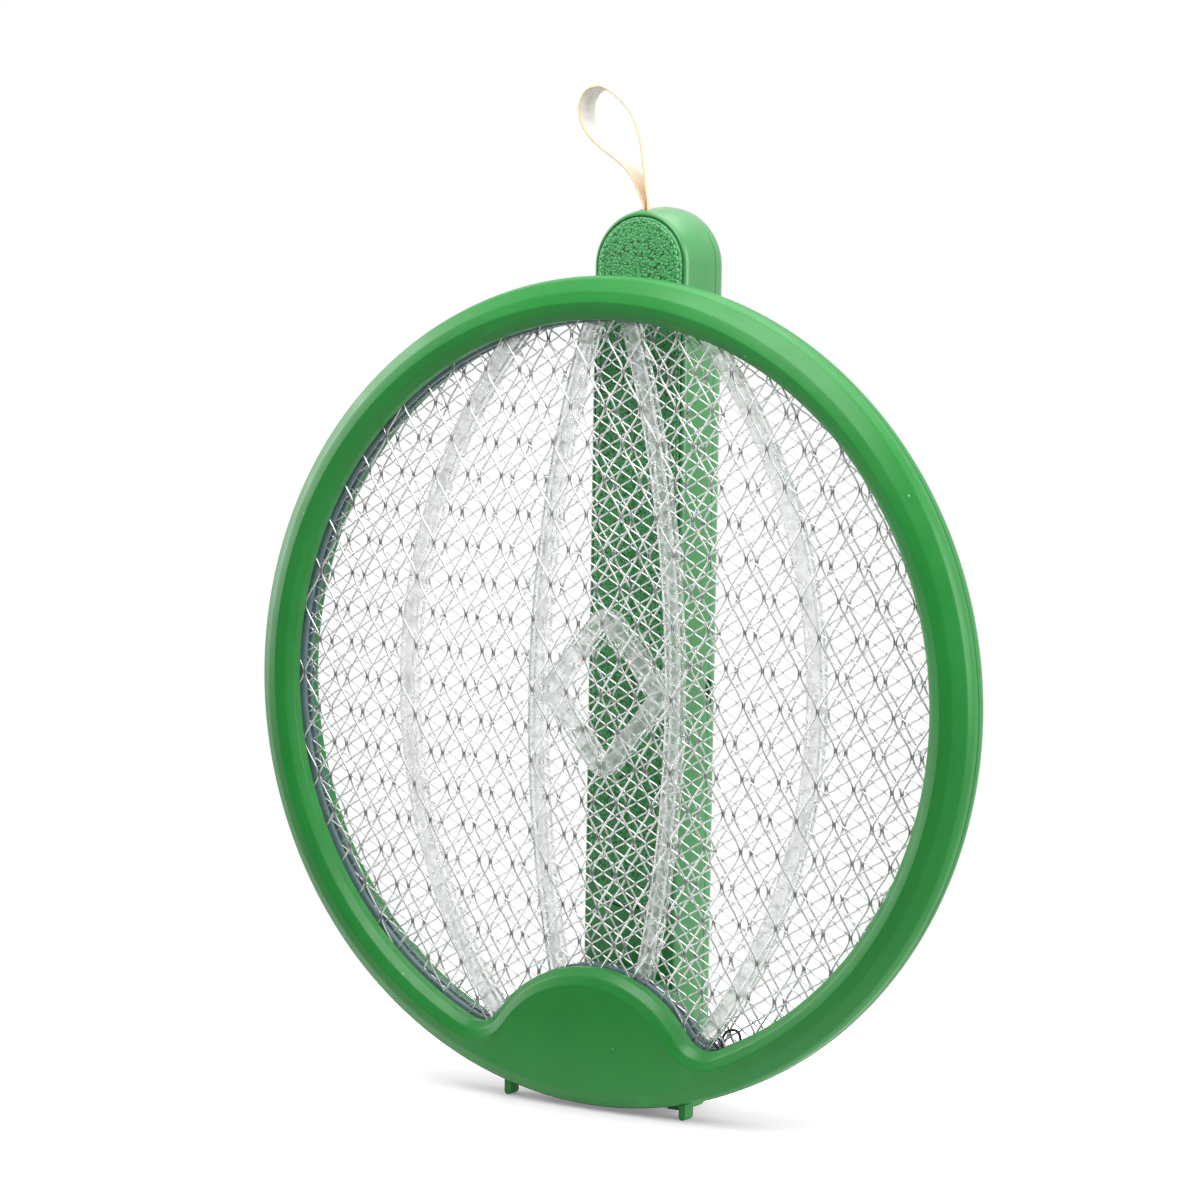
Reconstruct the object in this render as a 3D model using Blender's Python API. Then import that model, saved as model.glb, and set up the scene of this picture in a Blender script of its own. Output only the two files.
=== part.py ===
"""A folding round electric mosquito swatter, standing with its handle folded up behind the head.

The head is two ring shells round three steel grids and two clear rib frames. Its hump holds the high-voltage
board, and a hinge fork behind the hump carries the handle. Lengths are in metres and angles in degrees.
Shapes are worked out in the head's frame: the origin is the ring's centre on the front grid, x to the right,
y to the back and z up.
"""

import math

import bmesh
import bpy
from mathutils import Matrix, Vector

# Head
RING_RADIUS = 0.1115
OPENING_RADIUS = 0.1000
HUMP_CENTRE_Z = -0.1100
HUMP_RADIUS = 0.0360
FILLET_X = 0.0360
FILLET_Z = -0.08467
FILLET_RADIUS = 0.0080
SEAM_GAP = 0.0003
CLEARANCE = 0.0003
FLOOR_Z = -0.1123
FRONT_Y = -0.0066
RING_SEAM_Y = 0.0009
# The ring shells' sections, as loops from the seam over the outside to the lip and back inside. Each row
# has the outline that the loop follows, the rim's radius or the opening's offset, and y
FRONT_RING_SECTION = (
    ("rim", RING_RADIUS, RING_SEAM_Y),
    ("rim", RING_RADIUS, -0.0014),
    ("rim", 0.1107, -0.0033),
    ("rim", 0.1073, -0.0057),
    ("opening", 0.0043, FRONT_Y),
    ("opening", 0.0017, -0.0055),
    ("opening", -0.0002, -0.0035),
    ("opening", -0.0002, -0.0008),
    ("opening", 0.0018, -0.0008),
    ("opening", 0.0043, -0.0049),
    ("rim", 0.1065, -0.0042),
    ("rim", 0.1098, -0.0010),
    ("rim", 0.1098, RING_SEAM_Y),
)
REAR_RING_SECTION = (
    ("rim", RING_RADIUS, RING_SEAM_Y + SEAM_GAP),
    ("rim", RING_RADIUS, 0.0030),
    ("rim", 0.1103, 0.0062),
    ("rim", 0.1075, 0.0092),
    ("opening", 0.0043, 0.0100),
    ("opening", 0.0005, 0.0090),
    ("opening", 0.0005, 0.0063),
    ("opening", 0.0023, 0.0063),
    ("opening", 0.0043, 0.0085),
    ("rim", 0.1066, 0.0079),
    ("rim", 0.1089, 0.0054),
    ("rim", 0.1098, 0.0028),
    ("rim", 0.1098, RING_SEAM_Y + SEAM_GAP),
)
# Layers between the shells, as the middle of each and its thickness
FRONT_GRID_Y = 0.0
MIDDLE_GRID_Y = 0.0028
REAR_GRID_Y = 0.0056
GRID_THICKNESS = 0.0006
RIB_FRAME_THICKNESS = 0.0016
LAYER_EDGE = 0.0024
# Grids, with cells far larger than the real ones, which are 11 by 19 mm outside and 7 by 4 mm in the middle
COARSE_CELL = (0.0275, 0.0481)
FINE_CELL = (0.0338, 0.0310)
STRAND_WIDTH = 0.0011
# Ribs
RIB_WIDTH = 0.0042
OUTER_RIB = ((0.0280, 0.0972), (0.0642, 0.0065), (0.0310, -0.0925))
INNER_RIB = ((0.0052, 0.1012), (0.0215, 0.0050), (0.0132, -0.0778))
DIAMOND_HALF_WIDTH = 0.02075
DIAMOND_HALF_HEIGHT = 0.0255
DIAMOND_BAR = 0.0050
DIAMOND_CORNER = 0.0035
# Notch in each rib frame's ring for a lead: its direction, its half width, and how far out it reaches
NOTCH_ANGLE = -66
NOTCH_HALF_WIDTH = 0.0013
NOTCH_REACH = (0.0975, 0.1045)
# Feet
FOOT_X = 0.0278
FOOT_Y = 0.00165
FOOT_SIZE = (0.0019, 0.0040)
# Handle, folded
HANDLE_FRONT_Y = 0.0165
HANDLE_SEAM_Y = 0.0293
HANDLE_REAR_Y = 0.0360
HANDLE_HALF_WIDTH = 0.0164
HANDLE_FACE_HALF_WIDTH = 0.0141
HANDLE_LEVELS = (0.0171, 0.0185, 0.0210, 0.0245)
HANDLE_SIDE_BULGE = 0.0420
HANDLE_TOP_Z = 0.1145
HANDLE_BOTTOM_Z = -0.0955
HANDLE_CORNER = 0.0040
HANDLE_WALL = 0.0015
HANDLE_CAVITY_Y = 0.0184
HANDLE_EDGE_RADIUS = 0.0050
PAD_HALF_WIDTH = 0.0132
PAD_RECESS_Y = 0.0173
PAD_FRONT_Y = 0.0161
PAD_BOTTOM_Z = -0.0600
PAD_CORNER_INSET = 0.0010
PAD_EDGE = (0.0006, 0.0004)
# Hinge
HINGE_Y = 0.0160
HINGE_Z = -0.1040
PIN_RADIUS = 0.00175
BORE_RADIUS = 0.0021
BARREL_RADIUS = 0.0055
BARREL_HALF_WIDTH = 0.0156
CHEEK_INNER_X = 0.0170
CHEEK_OUTER_X = 0.0215
WASHER_THICKNESS = 0.0007
WASHER_RADIUS = 0.0045
PIN_HEAD_RADIUS = 0.0030
PIN_HEAD_HEIGHT = 0.0010
FORK_FRONT_Y = 0.0103
FORK_PLATE_Y = 0.0138
FORK_BOTTOM_Z = -0.0970
FORK_SHOULDER_Z = -0.0945
FORK_ARCH = (-0.0960, 0.0115)
CHEEK_REAR_Y = 0.0240
CHEEK_REAR_Z = -0.1010
CHEEK_CORNER = 0.0040
NECK_HALF_WIDTH = 0.0130
NECK_Y = (0.0160, 0.0215)
TANG_HALF_WIDTH = 0.0120
TANG_FRONT_Y = 0.0189
TANG_TOP_Z = -0.0920
# Hanging loop
STRAP_WIDTH = 0.0080
STRAP_THICKNESS = 0.0006
STRAP_FRONT_Y = 0.0187
STRAP_PIN_Z = 0.1246
STRAP_PIN_RADIUS = 0.0010
STRAP_PIN_END_Y = 0.0342
SLIT_HALF_WIDTH = 0.0015
SLIT_Z = (0.1220, 0.1330)
# Controls on the rear cover
BUTTON_Z = -0.0380
BUTTON_RADIUS = 0.0060
BUTTON_PROUD = 0.0012
BUTTON_FLANGE_RADIUS = 0.0072
BUTTON_STEM_RADIUS = 0.0018
BUTTON_EDGE = (0.0006, 0.0005)
SLIDER_Z = -0.0600
SLIDER_TRAVEL = 0.0050
SLIDER_KNOB = (0.0020, 0.0025)
SLIDER_PLATE = 0.0040
SLIDER_STEM = (0.0010, 0.0012)
SLIDER_PROUD = 0.0009
CAP_BACK_Y = 0.0330
STEM_END_Y = 0.0315
LED_Z = -0.0770
LED_RADIUS = 0.0015
PORT_Z = -0.0010
PORT_TALL = 0.0092
PORT_THIN = 0.0032
PORT_REACH = (0.0130, 0.0180)
# Electronics, each box as its lowest and highest corner
HV_BOARD = ((-0.0240, 0.0012, -0.1050), (0.0240, 0.0024, -0.0870))
HV_TRANSFORMER = ((-0.0180, -0.0042, -0.1030), (-0.0070, 0.0009, -0.0890))
HV_CAPACITOR_PLACE = (-0.0016, -0.0935)
HV_CAPACITOR_PROFILE = ((0.0008, -0.0015), (0.0024, -0.0008), (0.0024, 0.0142), (0.0008, 0.0150))
MAIN_BOARD = ((-0.0110, 0.0262, -0.0830), (0.0110, 0.0274, 0.0080))
BOARD_TOP_Y = 0.0277
BATTERY_Y = 0.0266
BATTERY_PROFILE = ((0.0040, 0.0180), (0.0068, 0.0190), (0.0068, 0.0660), (0.0030, 0.0665))
SOCKET_X = (0.0072, 0.0146)
SOCKET_TOP_Y = 0.0307
SOCKET_HALF_HEIGHT = 0.0043
SOCKET_WALL = 0.0005
TACT_HALF = 0.0030
TACT_TOP_Y = 0.0300
SWITCH_HALF = (0.0030, 0.0050)
SWITCH_TOP_Y = 0.0312
# Insulated leads from the high-voltage board to the outer grids
LEAD_RADIUS = 0.0004
LEAD_START = (0.0246, 0.0018)
LEAD_LOOP = (
    (0.0335, -0.0995),
    (0.0385, -0.0985),
    (0.0413, -0.0955),
    (0.0405, -0.0915),
    (0.0385, -0.0885),
)
# Fasteners
RING_SCREW_RADIUS = 0.1059
RING_SCREW_ANGLES = (20, 60, 120, 160, 215, 325)
HANDLE_SCREW_PLACES = ((-0.0105, 0.1060), (0.0105, 0.1060), (-0.0105, -0.0880), (0.0105, -0.0880))
FORK_SCREW_X = 0.0065
FORK_SCREW_Z = -0.0900
SCREW_HEAD_RADIUS = 0.0020
SCREW_HEAD_HEIGHT = 0.0011
SCREW_SHANK_RADIUS = 0.0010
BORE_IN_POST = 0.0014
COUNTERBORE_RADIUS = 0.0023
RING_POST = (0.0022, -0.0046, 0.0056)
RING_WELL = (0.0028, 0.0061, 0.0092)
RING_COUNTERBORE_Y = 0.0080
HANDLE_COUNTERBORE_Y = 0.0345
FRONT_HANDLE_POST_RADIUS = 0.0025
REAR_HANDLE_POST_RADIUS = 0.0032
HANDLE_POST_SPLIT_Y = (0.0300, 0.0304)
FORK_BORE_RADIUS = 0.0012
FORK_COUNTERBORE = (0.0024, 0.0120)

HEAD_Y = -(FRONT_Y + HANDLE_REAR_Y + BUTTON_PROUD) / 2

GREEN = (0.045, 0.270, 0.080, 1)
DARK_GREEN = (0.030, 0.190, 0.060, 1)
STEEL = (0.62, 0.63, 0.64, 1)
CLEAR = (0.80, 0.88, 0.87, 0.4)
BOARD_GREEN = (0.020, 0.120, 0.060, 1)
BLACK = (0.020, 0.020, 0.022, 1)
CREAM = (0.86, 0.80, 0.66, 1)
WHITE = (0.85, 0.85, 0.85, 1)
CELL_BLUE = (0.05, 0.16, 0.42, 1)


# ---------------------------------------------------------------- outlines, as lists of (x, z)


def arc(centre, radius, start, stop, steps):
    """Points on a circle from one angle to another, both ends included."""
    turns = [math.radians(start + (stop - start) * i / steps) for i in range(steps + 1)]
    return [(centre[0] + radius * math.cos(t), centre[1] + radius * math.sin(t)) for t in turns]


def circle(centre, radius, steps):
    return arc(centre, radius, 0, 360, steps)[:-1]


def opening(offset):
    """The head's opening, grown by offset: a circle, with the hump rising into it between two fillets."""
    meet = math.degrees(math.atan2(FILLET_Z, FILLET_X))
    rise = math.degrees(math.atan2(FILLET_Z - HUMP_CENTRE_Z, FILLET_X))
    fillet = FILLET_RADIUS + offset
    main = arc((0, 0), OPENING_RADIUS + offset, meet, 180 - meet, 50)
    left = arc((-FILLET_X, FILLET_Z), fillet, 180 - meet, 360 - rise, 4)
    hump = arc((0, HUMP_CENTRE_Z), HUMP_RADIUS - offset, 180 - rise, rise, 10)
    right = arc((FILLET_X, FILLET_Z), fillet, 180 + rise, 360 + meet, 4)
    return main + left[1:] + hump[1:] + right[1:-1]


def rim(radius):
    """A circle with one point at the polar angle of each of the opening's points."""
    angles = [math.atan2(z, x) for x, z in opening(0)]
    return [(radius * math.cos(a), radius * math.sin(a)) for a in angles]


def handle_outline(half_width, bottom, corner):
    """The handle seen from the front: a half circle on top, and two rounded corners below."""
    inset = half_width - corner
    top = arc((0, HANDLE_TOP_Z), half_width, 0, 180, 16)
    left = arc((-inset, bottom + corner), corner, 180, 270, 5)
    right = arc((inset, bottom + corner), corner, 270, 360, 5)
    return top + left + right


def arc_through(first, middle, last, steps):
    """An arc from the first point to the last through the middle one."""
    (ax, az), (bx, bz), (cx, cz) = first, middle, last
    d = 2 * (ax * (bz - cz) + bx * (cz - az) + cx * (az - bz))
    a, b, c = ax * ax + az * az, bx * bx + bz * bz, cx * cx + cz * cz
    x = (a * (bz - cz) + b * (cz - az) + c * (az - bz)) / d
    z = (a * (cx - bx) + b * (ax - cx) + c * (bx - ax)) / d
    start = math.degrees(math.atan2(az - z, ax - x))
    stop = math.degrees(math.atan2(cz - z, cx - x))
    sweep = (stop - start + 180) % 360 - 180
    return arc((x, z), math.hypot(ax - x, az - z), start, start + sweep, steps)


def band(line, width):
    """The outline of a strip of that width along a line."""
    sides = []
    for i, (x, z) in enumerate(line):
        x0, z0 = line[max(i - 1, 0)]
        x1, z1 = line[min(i + 1, len(line) - 1)]
        long = math.hypot(x1 - x0, z1 - z0)
        step = ((z1 - z0) * width / 2 / long, -(x1 - x0) * width / 2 / long)
        sides.append(((x + step[0], z + step[1]), (x - step[0], z - step[1])))
    return [s[0] for s in sides] + [s[1] for s in reversed(sides)]


def rounded_diamond(half_width, half_height, corner):
    """A diamond standing on a corner, with its corners rounded by that radius."""
    slope = math.degrees(math.atan2(half_width, half_height))
    reach_x = half_width - corner / math.cos(math.radians(slope))
    reach_z = half_height - corner / math.sin(math.radians(slope))
    points = arc((reach_x, 0), corner, -slope, slope, 3)
    points += arc((0, reach_z), corner, slope, 180 - slope, 3)
    points += arc((-reach_x, 0), corner, 180 - slope, 180 + slope, 3)
    return points + arc((0, -reach_z), corner, 180 + slope, 360 - slope, 3)


# ---------------------------------------------------------------- meshes


def at_y(outline, y):
    return [(x, y, z) for x, z in outline]


def loft(loops, joined=False):
    """A closed mesh over loops of equally many points. Its ends are capped, or meet each other if joined."""
    mesh = bmesh.new()
    rows = [[mesh.verts.new(point) for point in loop] for loop in loops]
    following = rows[1:] + rows[:1] if joined else rows[1:]
    for low, high in zip(rows, following):
        for i in range(len(low)):
            j = (i + 1) % len(low)
            mesh.faces.new((low[i], low[j], high[j], high[i]))
    if not joined:
        mesh.faces.new(rows[0])
        mesh.faces.new(rows[-1])
    bmesh.ops.recalc_face_normals(mesh, faces=mesh.faces)
    return mesh


def prism(outline, front, back):
    return loft([at_y(outline, front), at_y(outline, back)])


def box(low, high):
    outline = [(low[0], low[2]), (high[0], low[2]), (high[0], high[2]), (low[0], high[2])]
    return prism(outline, low[1], high[1])


def turned(profile, centre, steps=16, along="y"):
    """A solid turned round an axis through centre. The profile lists (radius, place along the axis)."""
    loops = []
    for radius, place in profile:
        ring = circle((0, 0), radius, steps)
        if along == "y":
            loops.append([(centre[0] + u, place, centre[1] + v) for u, v in ring])
        else:
            loops.append([(place, centre[0] + u, centre[1] + v) for u, v in ring])
    return loft(loops)


def merged(meshes):
    """Several closed meshes in one, for a cutter or for pieces to be joined on."""
    together = bmesh.new()
    for part in meshes:
        holder = bpy.data.meshes.new("part")
        part.to_mesh(holder)
        together.from_mesh(holder)
        bpy.data.meshes.remove(holder)
    return together


def paint(obj, name, colour, roughness, metallic=0.0):
    material = bpy.data.materials.get(name)
    if material is None:
        material = bpy.data.materials.new(name)
        material.use_nodes = True
        shader = material.node_tree.nodes["Principled BSDF"]
        shader.inputs["Base Color"].default_value = colour
        shader.inputs["Roughness"].default_value = roughness
        shader.inputs["Metallic"].default_value = metallic
        shader.inputs["Alpha"].default_value = colour[3]
    obj.data.materials.append(material)


def place(name, mesh, parent, origin=(0, 0, 0)):
    """Makes the object under its parent empty, with its own origin at a point of the head's frame."""
    data = bpy.data.meshes.new(name)
    mesh.transform(Matrix.Translation(-Vector(origin)))
    mesh.to_mesh(data)
    mesh.free()
    data.shade_smooth()
    data.set_sharp_from_angle(angle=math.radians(35))
    obj = bpy.data.objects.new(name, data)
    bpy.context.scene.collection.objects.link(obj)
    obj.parent = parent
    obj.location = Vector(origin) - Vector(parent["centre"])
    return obj


def shape_with(obj, operation, mesh):
    """Adds or cuts away a mesh, given in the head's frame, by a Boolean with a hidden helper."""
    tool = place(f"{obj.name}_{operation.lower()}", mesh, obj.parent)
    tool.hide_render = True
    tool.display_type = "WIRE"
    change = obj.modifiers.new(operation.title(), "BOOLEAN")
    change.operation = operation
    change.solver = "EXACT"
    change.object = tool
    return tool


def group(name, centre, parent=None):
    """An empty at a point of the head's frame, or of the world for the head itself."""
    empty = bpy.data.objects.new(name, None)
    bpy.context.scene.collection.objects.link(empty)
    empty.parent = parent
    empty["centre"] = centre
    return empty


# ---------------------------------------------------------------- head


def ring_screw_places():
    turns = [math.radians(a) for a in RING_SCREW_ANGLES]
    return [(RING_SCREW_RADIUS * math.cos(t), RING_SCREW_RADIUS * math.sin(t)) for t in turns]


def lead_notch(layer_y):
    """A radial slot through a rib frame's ring, which lets a lead out of the hump into the opening."""
    turn = math.radians(NOTCH_ANGLE)
    near, far = NOTCH_REACH
    half = NOTCH_HALF_WIDTH
    out, across = (math.cos(turn), math.sin(turn)), (-math.sin(turn), math.cos(turn))
    corners = [(near, -half), (far, -half), (far, half), (near, half)]
    outline = [(out[0] * r + across[0] * s, out[1] * r + across[1] * s) for r, s in corners]
    return prism(outline, layer_y - RIB_FRAME_THICKNESS, layer_y + RIB_FRAME_THICKNESS)


def ring_section(rows):
    """A ring shell's loops in space, from the rows of its section."""
    outlines = {"rim": rim, "opening": opening}
    return [at_y(outlines[kind](value), y) for kind, value, y in rows]


def stepped_bore(spot, start, step, end, bore=BORE_IN_POST, head=COUNTERBORE_RADIUS):
    """A cutter for a screw: its bore up to step, and then the wider seat of its head."""
    return turned([(bore, start), (bore, step), (head, step), (head, end)], spot, 12)


def front_ring_shell(head):
    shell = place("front_ring_shell", loft(ring_section(FRONT_RING_SECTION), joined=True), head)
    paint(shell, "green_shell", GREEN, 0.42)
    radius, front, back = RING_POST
    posts = [turned([(radius, front), (radius, back)], spot, 10) for spot in ring_screw_places()]
    bore = [(BORE_IN_POST, -0.0030), (BORE_IN_POST, 0.0070)]
    holes = [turned(bore, spot, 10) for spot in ring_screw_places()]
    shape_with(shell, "UNION", merged(posts))
    shape_with(shell, "DIFFERENCE", merged(holes))


def rear_ring_shell(head):
    shell = place("rear_ring_shell", loft(ring_section(REAR_RING_SECTION), joined=True), head)
    paint(shell, "green_shell", GREEN, 0.42)
    radius, front, back = RING_WELL
    wells = [turned([(radius, front), (radius, back)], spot, 10) for spot in ring_screw_places()]
    holes = [stepped_bore(spot, 0.0050, RING_COUNTERBORE_Y, 0.0110) for spot in ring_screw_places()]
    for side in (-1, 1):
        spot = (side * FORK_SCREW_X, FORK_SCREW_Z)
        holes.append(turned([(FORK_BORE_RADIUS, 0.0060), (FORK_BORE_RADIUS, 0.0120)], spot, 10))
    shape_with(shell, "UNION", merged(wells))
    shape_with(shell, "DIFFERENCE", merged(holes))


def lattice(name, head, layer_y, cell, drop):
    """A steel grid: a plate with diamond cells cut out of it, inside a rim that the rib frames clamp."""
    half = GRID_THICKNESS / 2
    plate = place(name, prism(opening(LAYER_EDGE), layer_y - half, layer_y + half), head)
    paint(plate, "steel", STEEL, 0.30, 1.0)
    wide, tall = cell
    slant = math.hypot(wide, tall)
    cut_x = wide / 2 - STRAND_WIDTH / 2 * slant / tall
    cut_z = tall / 2 - STRAND_WIDTH / 2 * slant / wide
    holes = []
    rows = math.ceil(2 * RING_RADIUS / tall)
    columns = math.ceil(2 * RING_RADIUS / wide)
    for i in range(-columns, columns + 1):
        for j in range(-rows, rows + 1):
            if (i + j) % 2:
                continue
            x, z = i * wide / 2, j * tall / 2 - drop
            if math.hypot(x, z) - max(cut_x, cut_z) > OPENING_RADIUS:
                continue
            corners = [(x + cut_x, z), (x, z + cut_z), (x - cut_x, z), (x, z - cut_z)]
            holes.append(prism(corners, layer_y - 2 * half, layer_y + 2 * half))
    cutter = shape_with(plate, "DIFFERENCE", merged(holes))
    shape_with(cutter, "INTERSECT", prism(opening(-0.0004), layer_y - 4 * half, layer_y + 4 * half))


def rib_frame(name, head, layer_y):
    """A clear frame: a flat ring, four curved ribs and a diamond in the middle."""
    front, back = layer_y - RIB_FRAME_THICKNESS / 2, layer_y + RIB_FRAME_THICKNESS / 2
    outer, inner = opening(LAYER_EDGE), opening(-0.0006)
    ring = loft([at_y(outer, front), at_y(outer, back), at_y(inner, back), at_y(inner, front)], joined=True)
    frame = place(name, ring, head)
    paint(frame, "clear_plastic", CLEAR, 0.12)
    for side in (-1, 1):
        for rib in (OUTER_RIB, INNER_RIB):
            first, middle, last = [(side * x, z) for x, z in rib]
            line = arc_through(first, middle, last, 10)
            shape_with(frame, "UNION", prism(band(line, RIB_WIDTH), front, back))
    thin = DIAMOND_BAR / math.cos(math.atan2(DIAMOND_HALF_WIDTH, DIAMOND_HALF_HEIGHT))
    tall = thin * DIAMOND_HALF_HEIGHT / DIAMOND_HALF_WIDTH
    outside = rounded_diamond(DIAMOND_HALF_WIDTH, DIAMOND_HALF_HEIGHT, DIAMOND_CORNER)
    inside = rounded_diamond(DIAMOND_HALF_WIDTH - thin, DIAMOND_HALF_HEIGHT - tall, DIAMOND_CORNER / 4)
    loops = [at_y(outside, front), at_y(outside, back), at_y(inside, back), at_y(inside, front)]
    shape_with(frame, "UNION", loft(loops, joined=True))
    shape_with(frame, "DIFFERENCE", lead_notch(layer_y))


def foot(name, head, side):
    """A small tab under the ring, rounded below and cut to the ring's curve above."""
    half, deep = FOOT_SIZE[0] / 2, FOOT_SIZE[1] / 2
    clear = RING_RADIUS + CLEARANCE
    middle = side * FOOT_X
    bottom = arc((middle, FLOOR_Z + half), half, 180, 360, 6)
    top = [(x, -math.sqrt(clear**2 - x**2)) for x in (middle + half, middle, middle - half)]
    tab = place(name, prism(bottom + top, FOOT_Y - deep, FOOT_Y + deep), head)
    paint(tab, "green_foot", GREEN, 0.5)


def hinge_fork(head):
    """Two cheeks that carry the pin and stand on the floor, on a plate screwed to the back of the hump."""
    arch_z, arch_radius = FORK_ARCH
    plate = [(-CHEEK_OUTER_X, FORK_BOTTOM_Z), (CHEEK_OUTER_X, FORK_BOTTOM_Z)]
    plate += [(CHEEK_OUTER_X, FORK_SHOULDER_Z)]
    plate += arc((0, arch_z), arch_radius, 10, 170, 10)
    plate += [(-CHEEK_OUTER_X, FORK_SHOULDER_Z)]
    fork = place("hinge_fork", prism(plate, FORK_FRONT_Y, FORK_PLATE_Y), head)
    paint(fork, "green_fork", GREEN, 0.45)
    # The cheek's outline in (y, z), with a rounded lower rear corner
    outline = [(FORK_FRONT_Y, FORK_SHOULDER_Z), (FORK_FRONT_Y, FLOOR_Z)]
    outline += arc((CHEEK_REAR_Y - CHEEK_CORNER, FLOOR_Z + CHEEK_CORNER), CHEEK_CORNER, -90, 0, 4)
    outline += [(CHEEK_REAR_Y, CHEEK_REAR_Z), (FORK_PLATE_Y, FORK_SHOULDER_Z)]
    for side in (-1, 1):
        low, high = sorted((side * CHEEK_INNER_X, side * CHEEK_OUTER_X))
        cheek = loft([[(low, y, z) for y, z in outline], [(high, y, z) for y, z in outline]])
        shape_with(fork, "UNION", cheek)
    shape_with(fork, "DIFFERENCE", hinge_bore(-0.03, 0.03))
    seat_radius, seat_y = FORK_COUNTERBORE
    holes = []
    for side in (-1, 1):
        spot = (side * FORK_SCREW_X, FORK_SCREW_Z)
        holes.append(stepped_bore(spot, 0.0090, seat_y, 0.0150, FORK_BORE_RADIUS, seat_radius))
    shape_with(fork, "DIFFERENCE", merged(holes))


def hinge_bore(start, end):
    """A cutter along the hinge's axis, with room for the pin."""
    return turned([(BORE_RADIUS, start), (BORE_RADIUS, end)], (HINGE_Y, HINGE_Z), 16, "x")


def hinge_pin(head):
    end = CHEEK_OUTER_X + CLEARANCE
    cap = end + PIN_HEAD_HEIGHT
    profile = [(PIN_HEAD_RADIUS, -cap), (PIN_HEAD_RADIUS, -end), (PIN_RADIUS, -end)]
    profile += [(radius, -along) for radius, along in reversed(profile)]
    pin = place("hinge_pin", turned(profile, (HINGE_Y, HINGE_Z), 16, "x"), head)
    paint(pin, "steel_pin", STEEL, 0.25, 1.0)


def hinge_washer(name, head, side):
    near = BARREL_HALF_WIDTH + CLEARANCE
    far = near + WASHER_THICKNESS
    disc = turned([(WASHER_RADIUS, side * near), (WASHER_RADIUS, side * far)], (HINGE_Y, HINGE_Z), 16, "x")
    washer = place(name, disc, head)
    paint(washer, "washer", WHITE, 0.5)
    shape_with(washer, "DIFFERENCE", hinge_bore(side * (near - 0.001), side * (far + 0.001)))


def hump_electronics(head):
    board = place("hv_board", box(*HV_BOARD), head)
    paint(board, "circuit_board", BOARD_GREEN, 0.45)
    transformer = place("hv_transformer", box(*HV_TRANSFORMER), head)
    paint(transformer, "transformer", BLACK, 0.5)
    capacitor = place("hv_capacitor", turned(HV_CAPACITOR_PROFILE, HV_CAPACITOR_PLACE, 12, "x"), head)
    paint(capacitor, "capacitor", CELL_BLUE, 0.35)


def smooth_line(points, steps):
    """A Catmull-Rom curve through the points, with that many steps in each stretch."""
    points = [Vector(p) for p in points]
    ends = [2 * points[0] - points[1]] + points + [2 * points[-1] - points[-2]]
    line = []
    for a, b, c, d in zip(ends, ends[1:], ends[2:], ends[3:]):
        for i in range(steps):
            t = i / steps
            bend = (2 * a - 5 * b + 4 * c - d) * t * t + (3 * b - a - 3 * c + d) * t**3
            line.append((2 * b + (c - a) * t + bend) / 2)
    return line + [points[-1]]


def grid_lead(name, head, layer_y, start_z):
    """An insulated wire from the high-voltage board, through a rib frame's layer, up to a grid."""
    curve = bpy.data.curves.new(name, "CURVE")
    curve.dimensions = "3D"
    curve.bevel_depth = LEAD_RADIUS
    curve.bevel_resolution = 2
    curve.use_fill_caps = True
    start = (*LEAD_START, start_z)
    turn = (0.0285, layer_y, start_z - 0.0010)
    line = smooth_line([start, turn] + [(x, layer_y, z) for x, z in LEAD_LOOP], 2)
    spline = curve.splines.new("POLY")
    spline.points.add(len(line) - 1)
    for point, spot in zip(spline.points, line):
        point.co = (*spot, 1)
    wire = bpy.data.objects.new(name, curve)
    bpy.context.scene.collection.objects.link(wire)
    wire.parent = head
    paint(wire, "lead_insulation", BLACK, 0.4)


def screw(name, parent, spot, head_y, tip_y):
    """A pan-head screw driven in from the back."""
    under = head_y - SCREW_HEAD_HEIGHT
    shank, cap = SCREW_SHANK_RADIUS, SCREW_HEAD_RADIUS
    profile = [(shank * 0.4, tip_y), (shank, tip_y + 0.0012), (shank, under)]
    profile += [(cap, under), (cap, head_y - 0.0004), (cap * 0.7, head_y)]
    body = place(name, turned(profile, spot, 8), parent)
    paint(body, "screw_steel", STEEL, 0.35, 1.0)


# ---------------------------------------------------------------- handle


def handle_half_width(y):
    """The handle's side swells towards the seam in one long arc."""
    return HANDLE_HALF_WIDTH - (HANDLE_SEAM_Y - y) ** 2 / (2 * HANDLE_SIDE_BULGE)


def handle_screw_posts(radius, front, back):
    return merged([turned([(radius, front), (radius, back)], spot, 10) for spot in HANDLE_SCREW_PLACES])


def port_cutter():
    """The charging port's slot: a rounded bar across the seam on the right side."""
    ends = (PORT_TALL - PORT_THIN) / 2
    outline = arc((HANDLE_SEAM_Y, PORT_Z + ends), PORT_THIN / 2, 0, 180, 6)
    outline += arc((HANDLE_SEAM_Y, PORT_Z - ends), PORT_THIN / 2, 180, 360, 6)
    return loft([[(x, y, z) for y, z in outline] for x in PORT_REACH])


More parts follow.
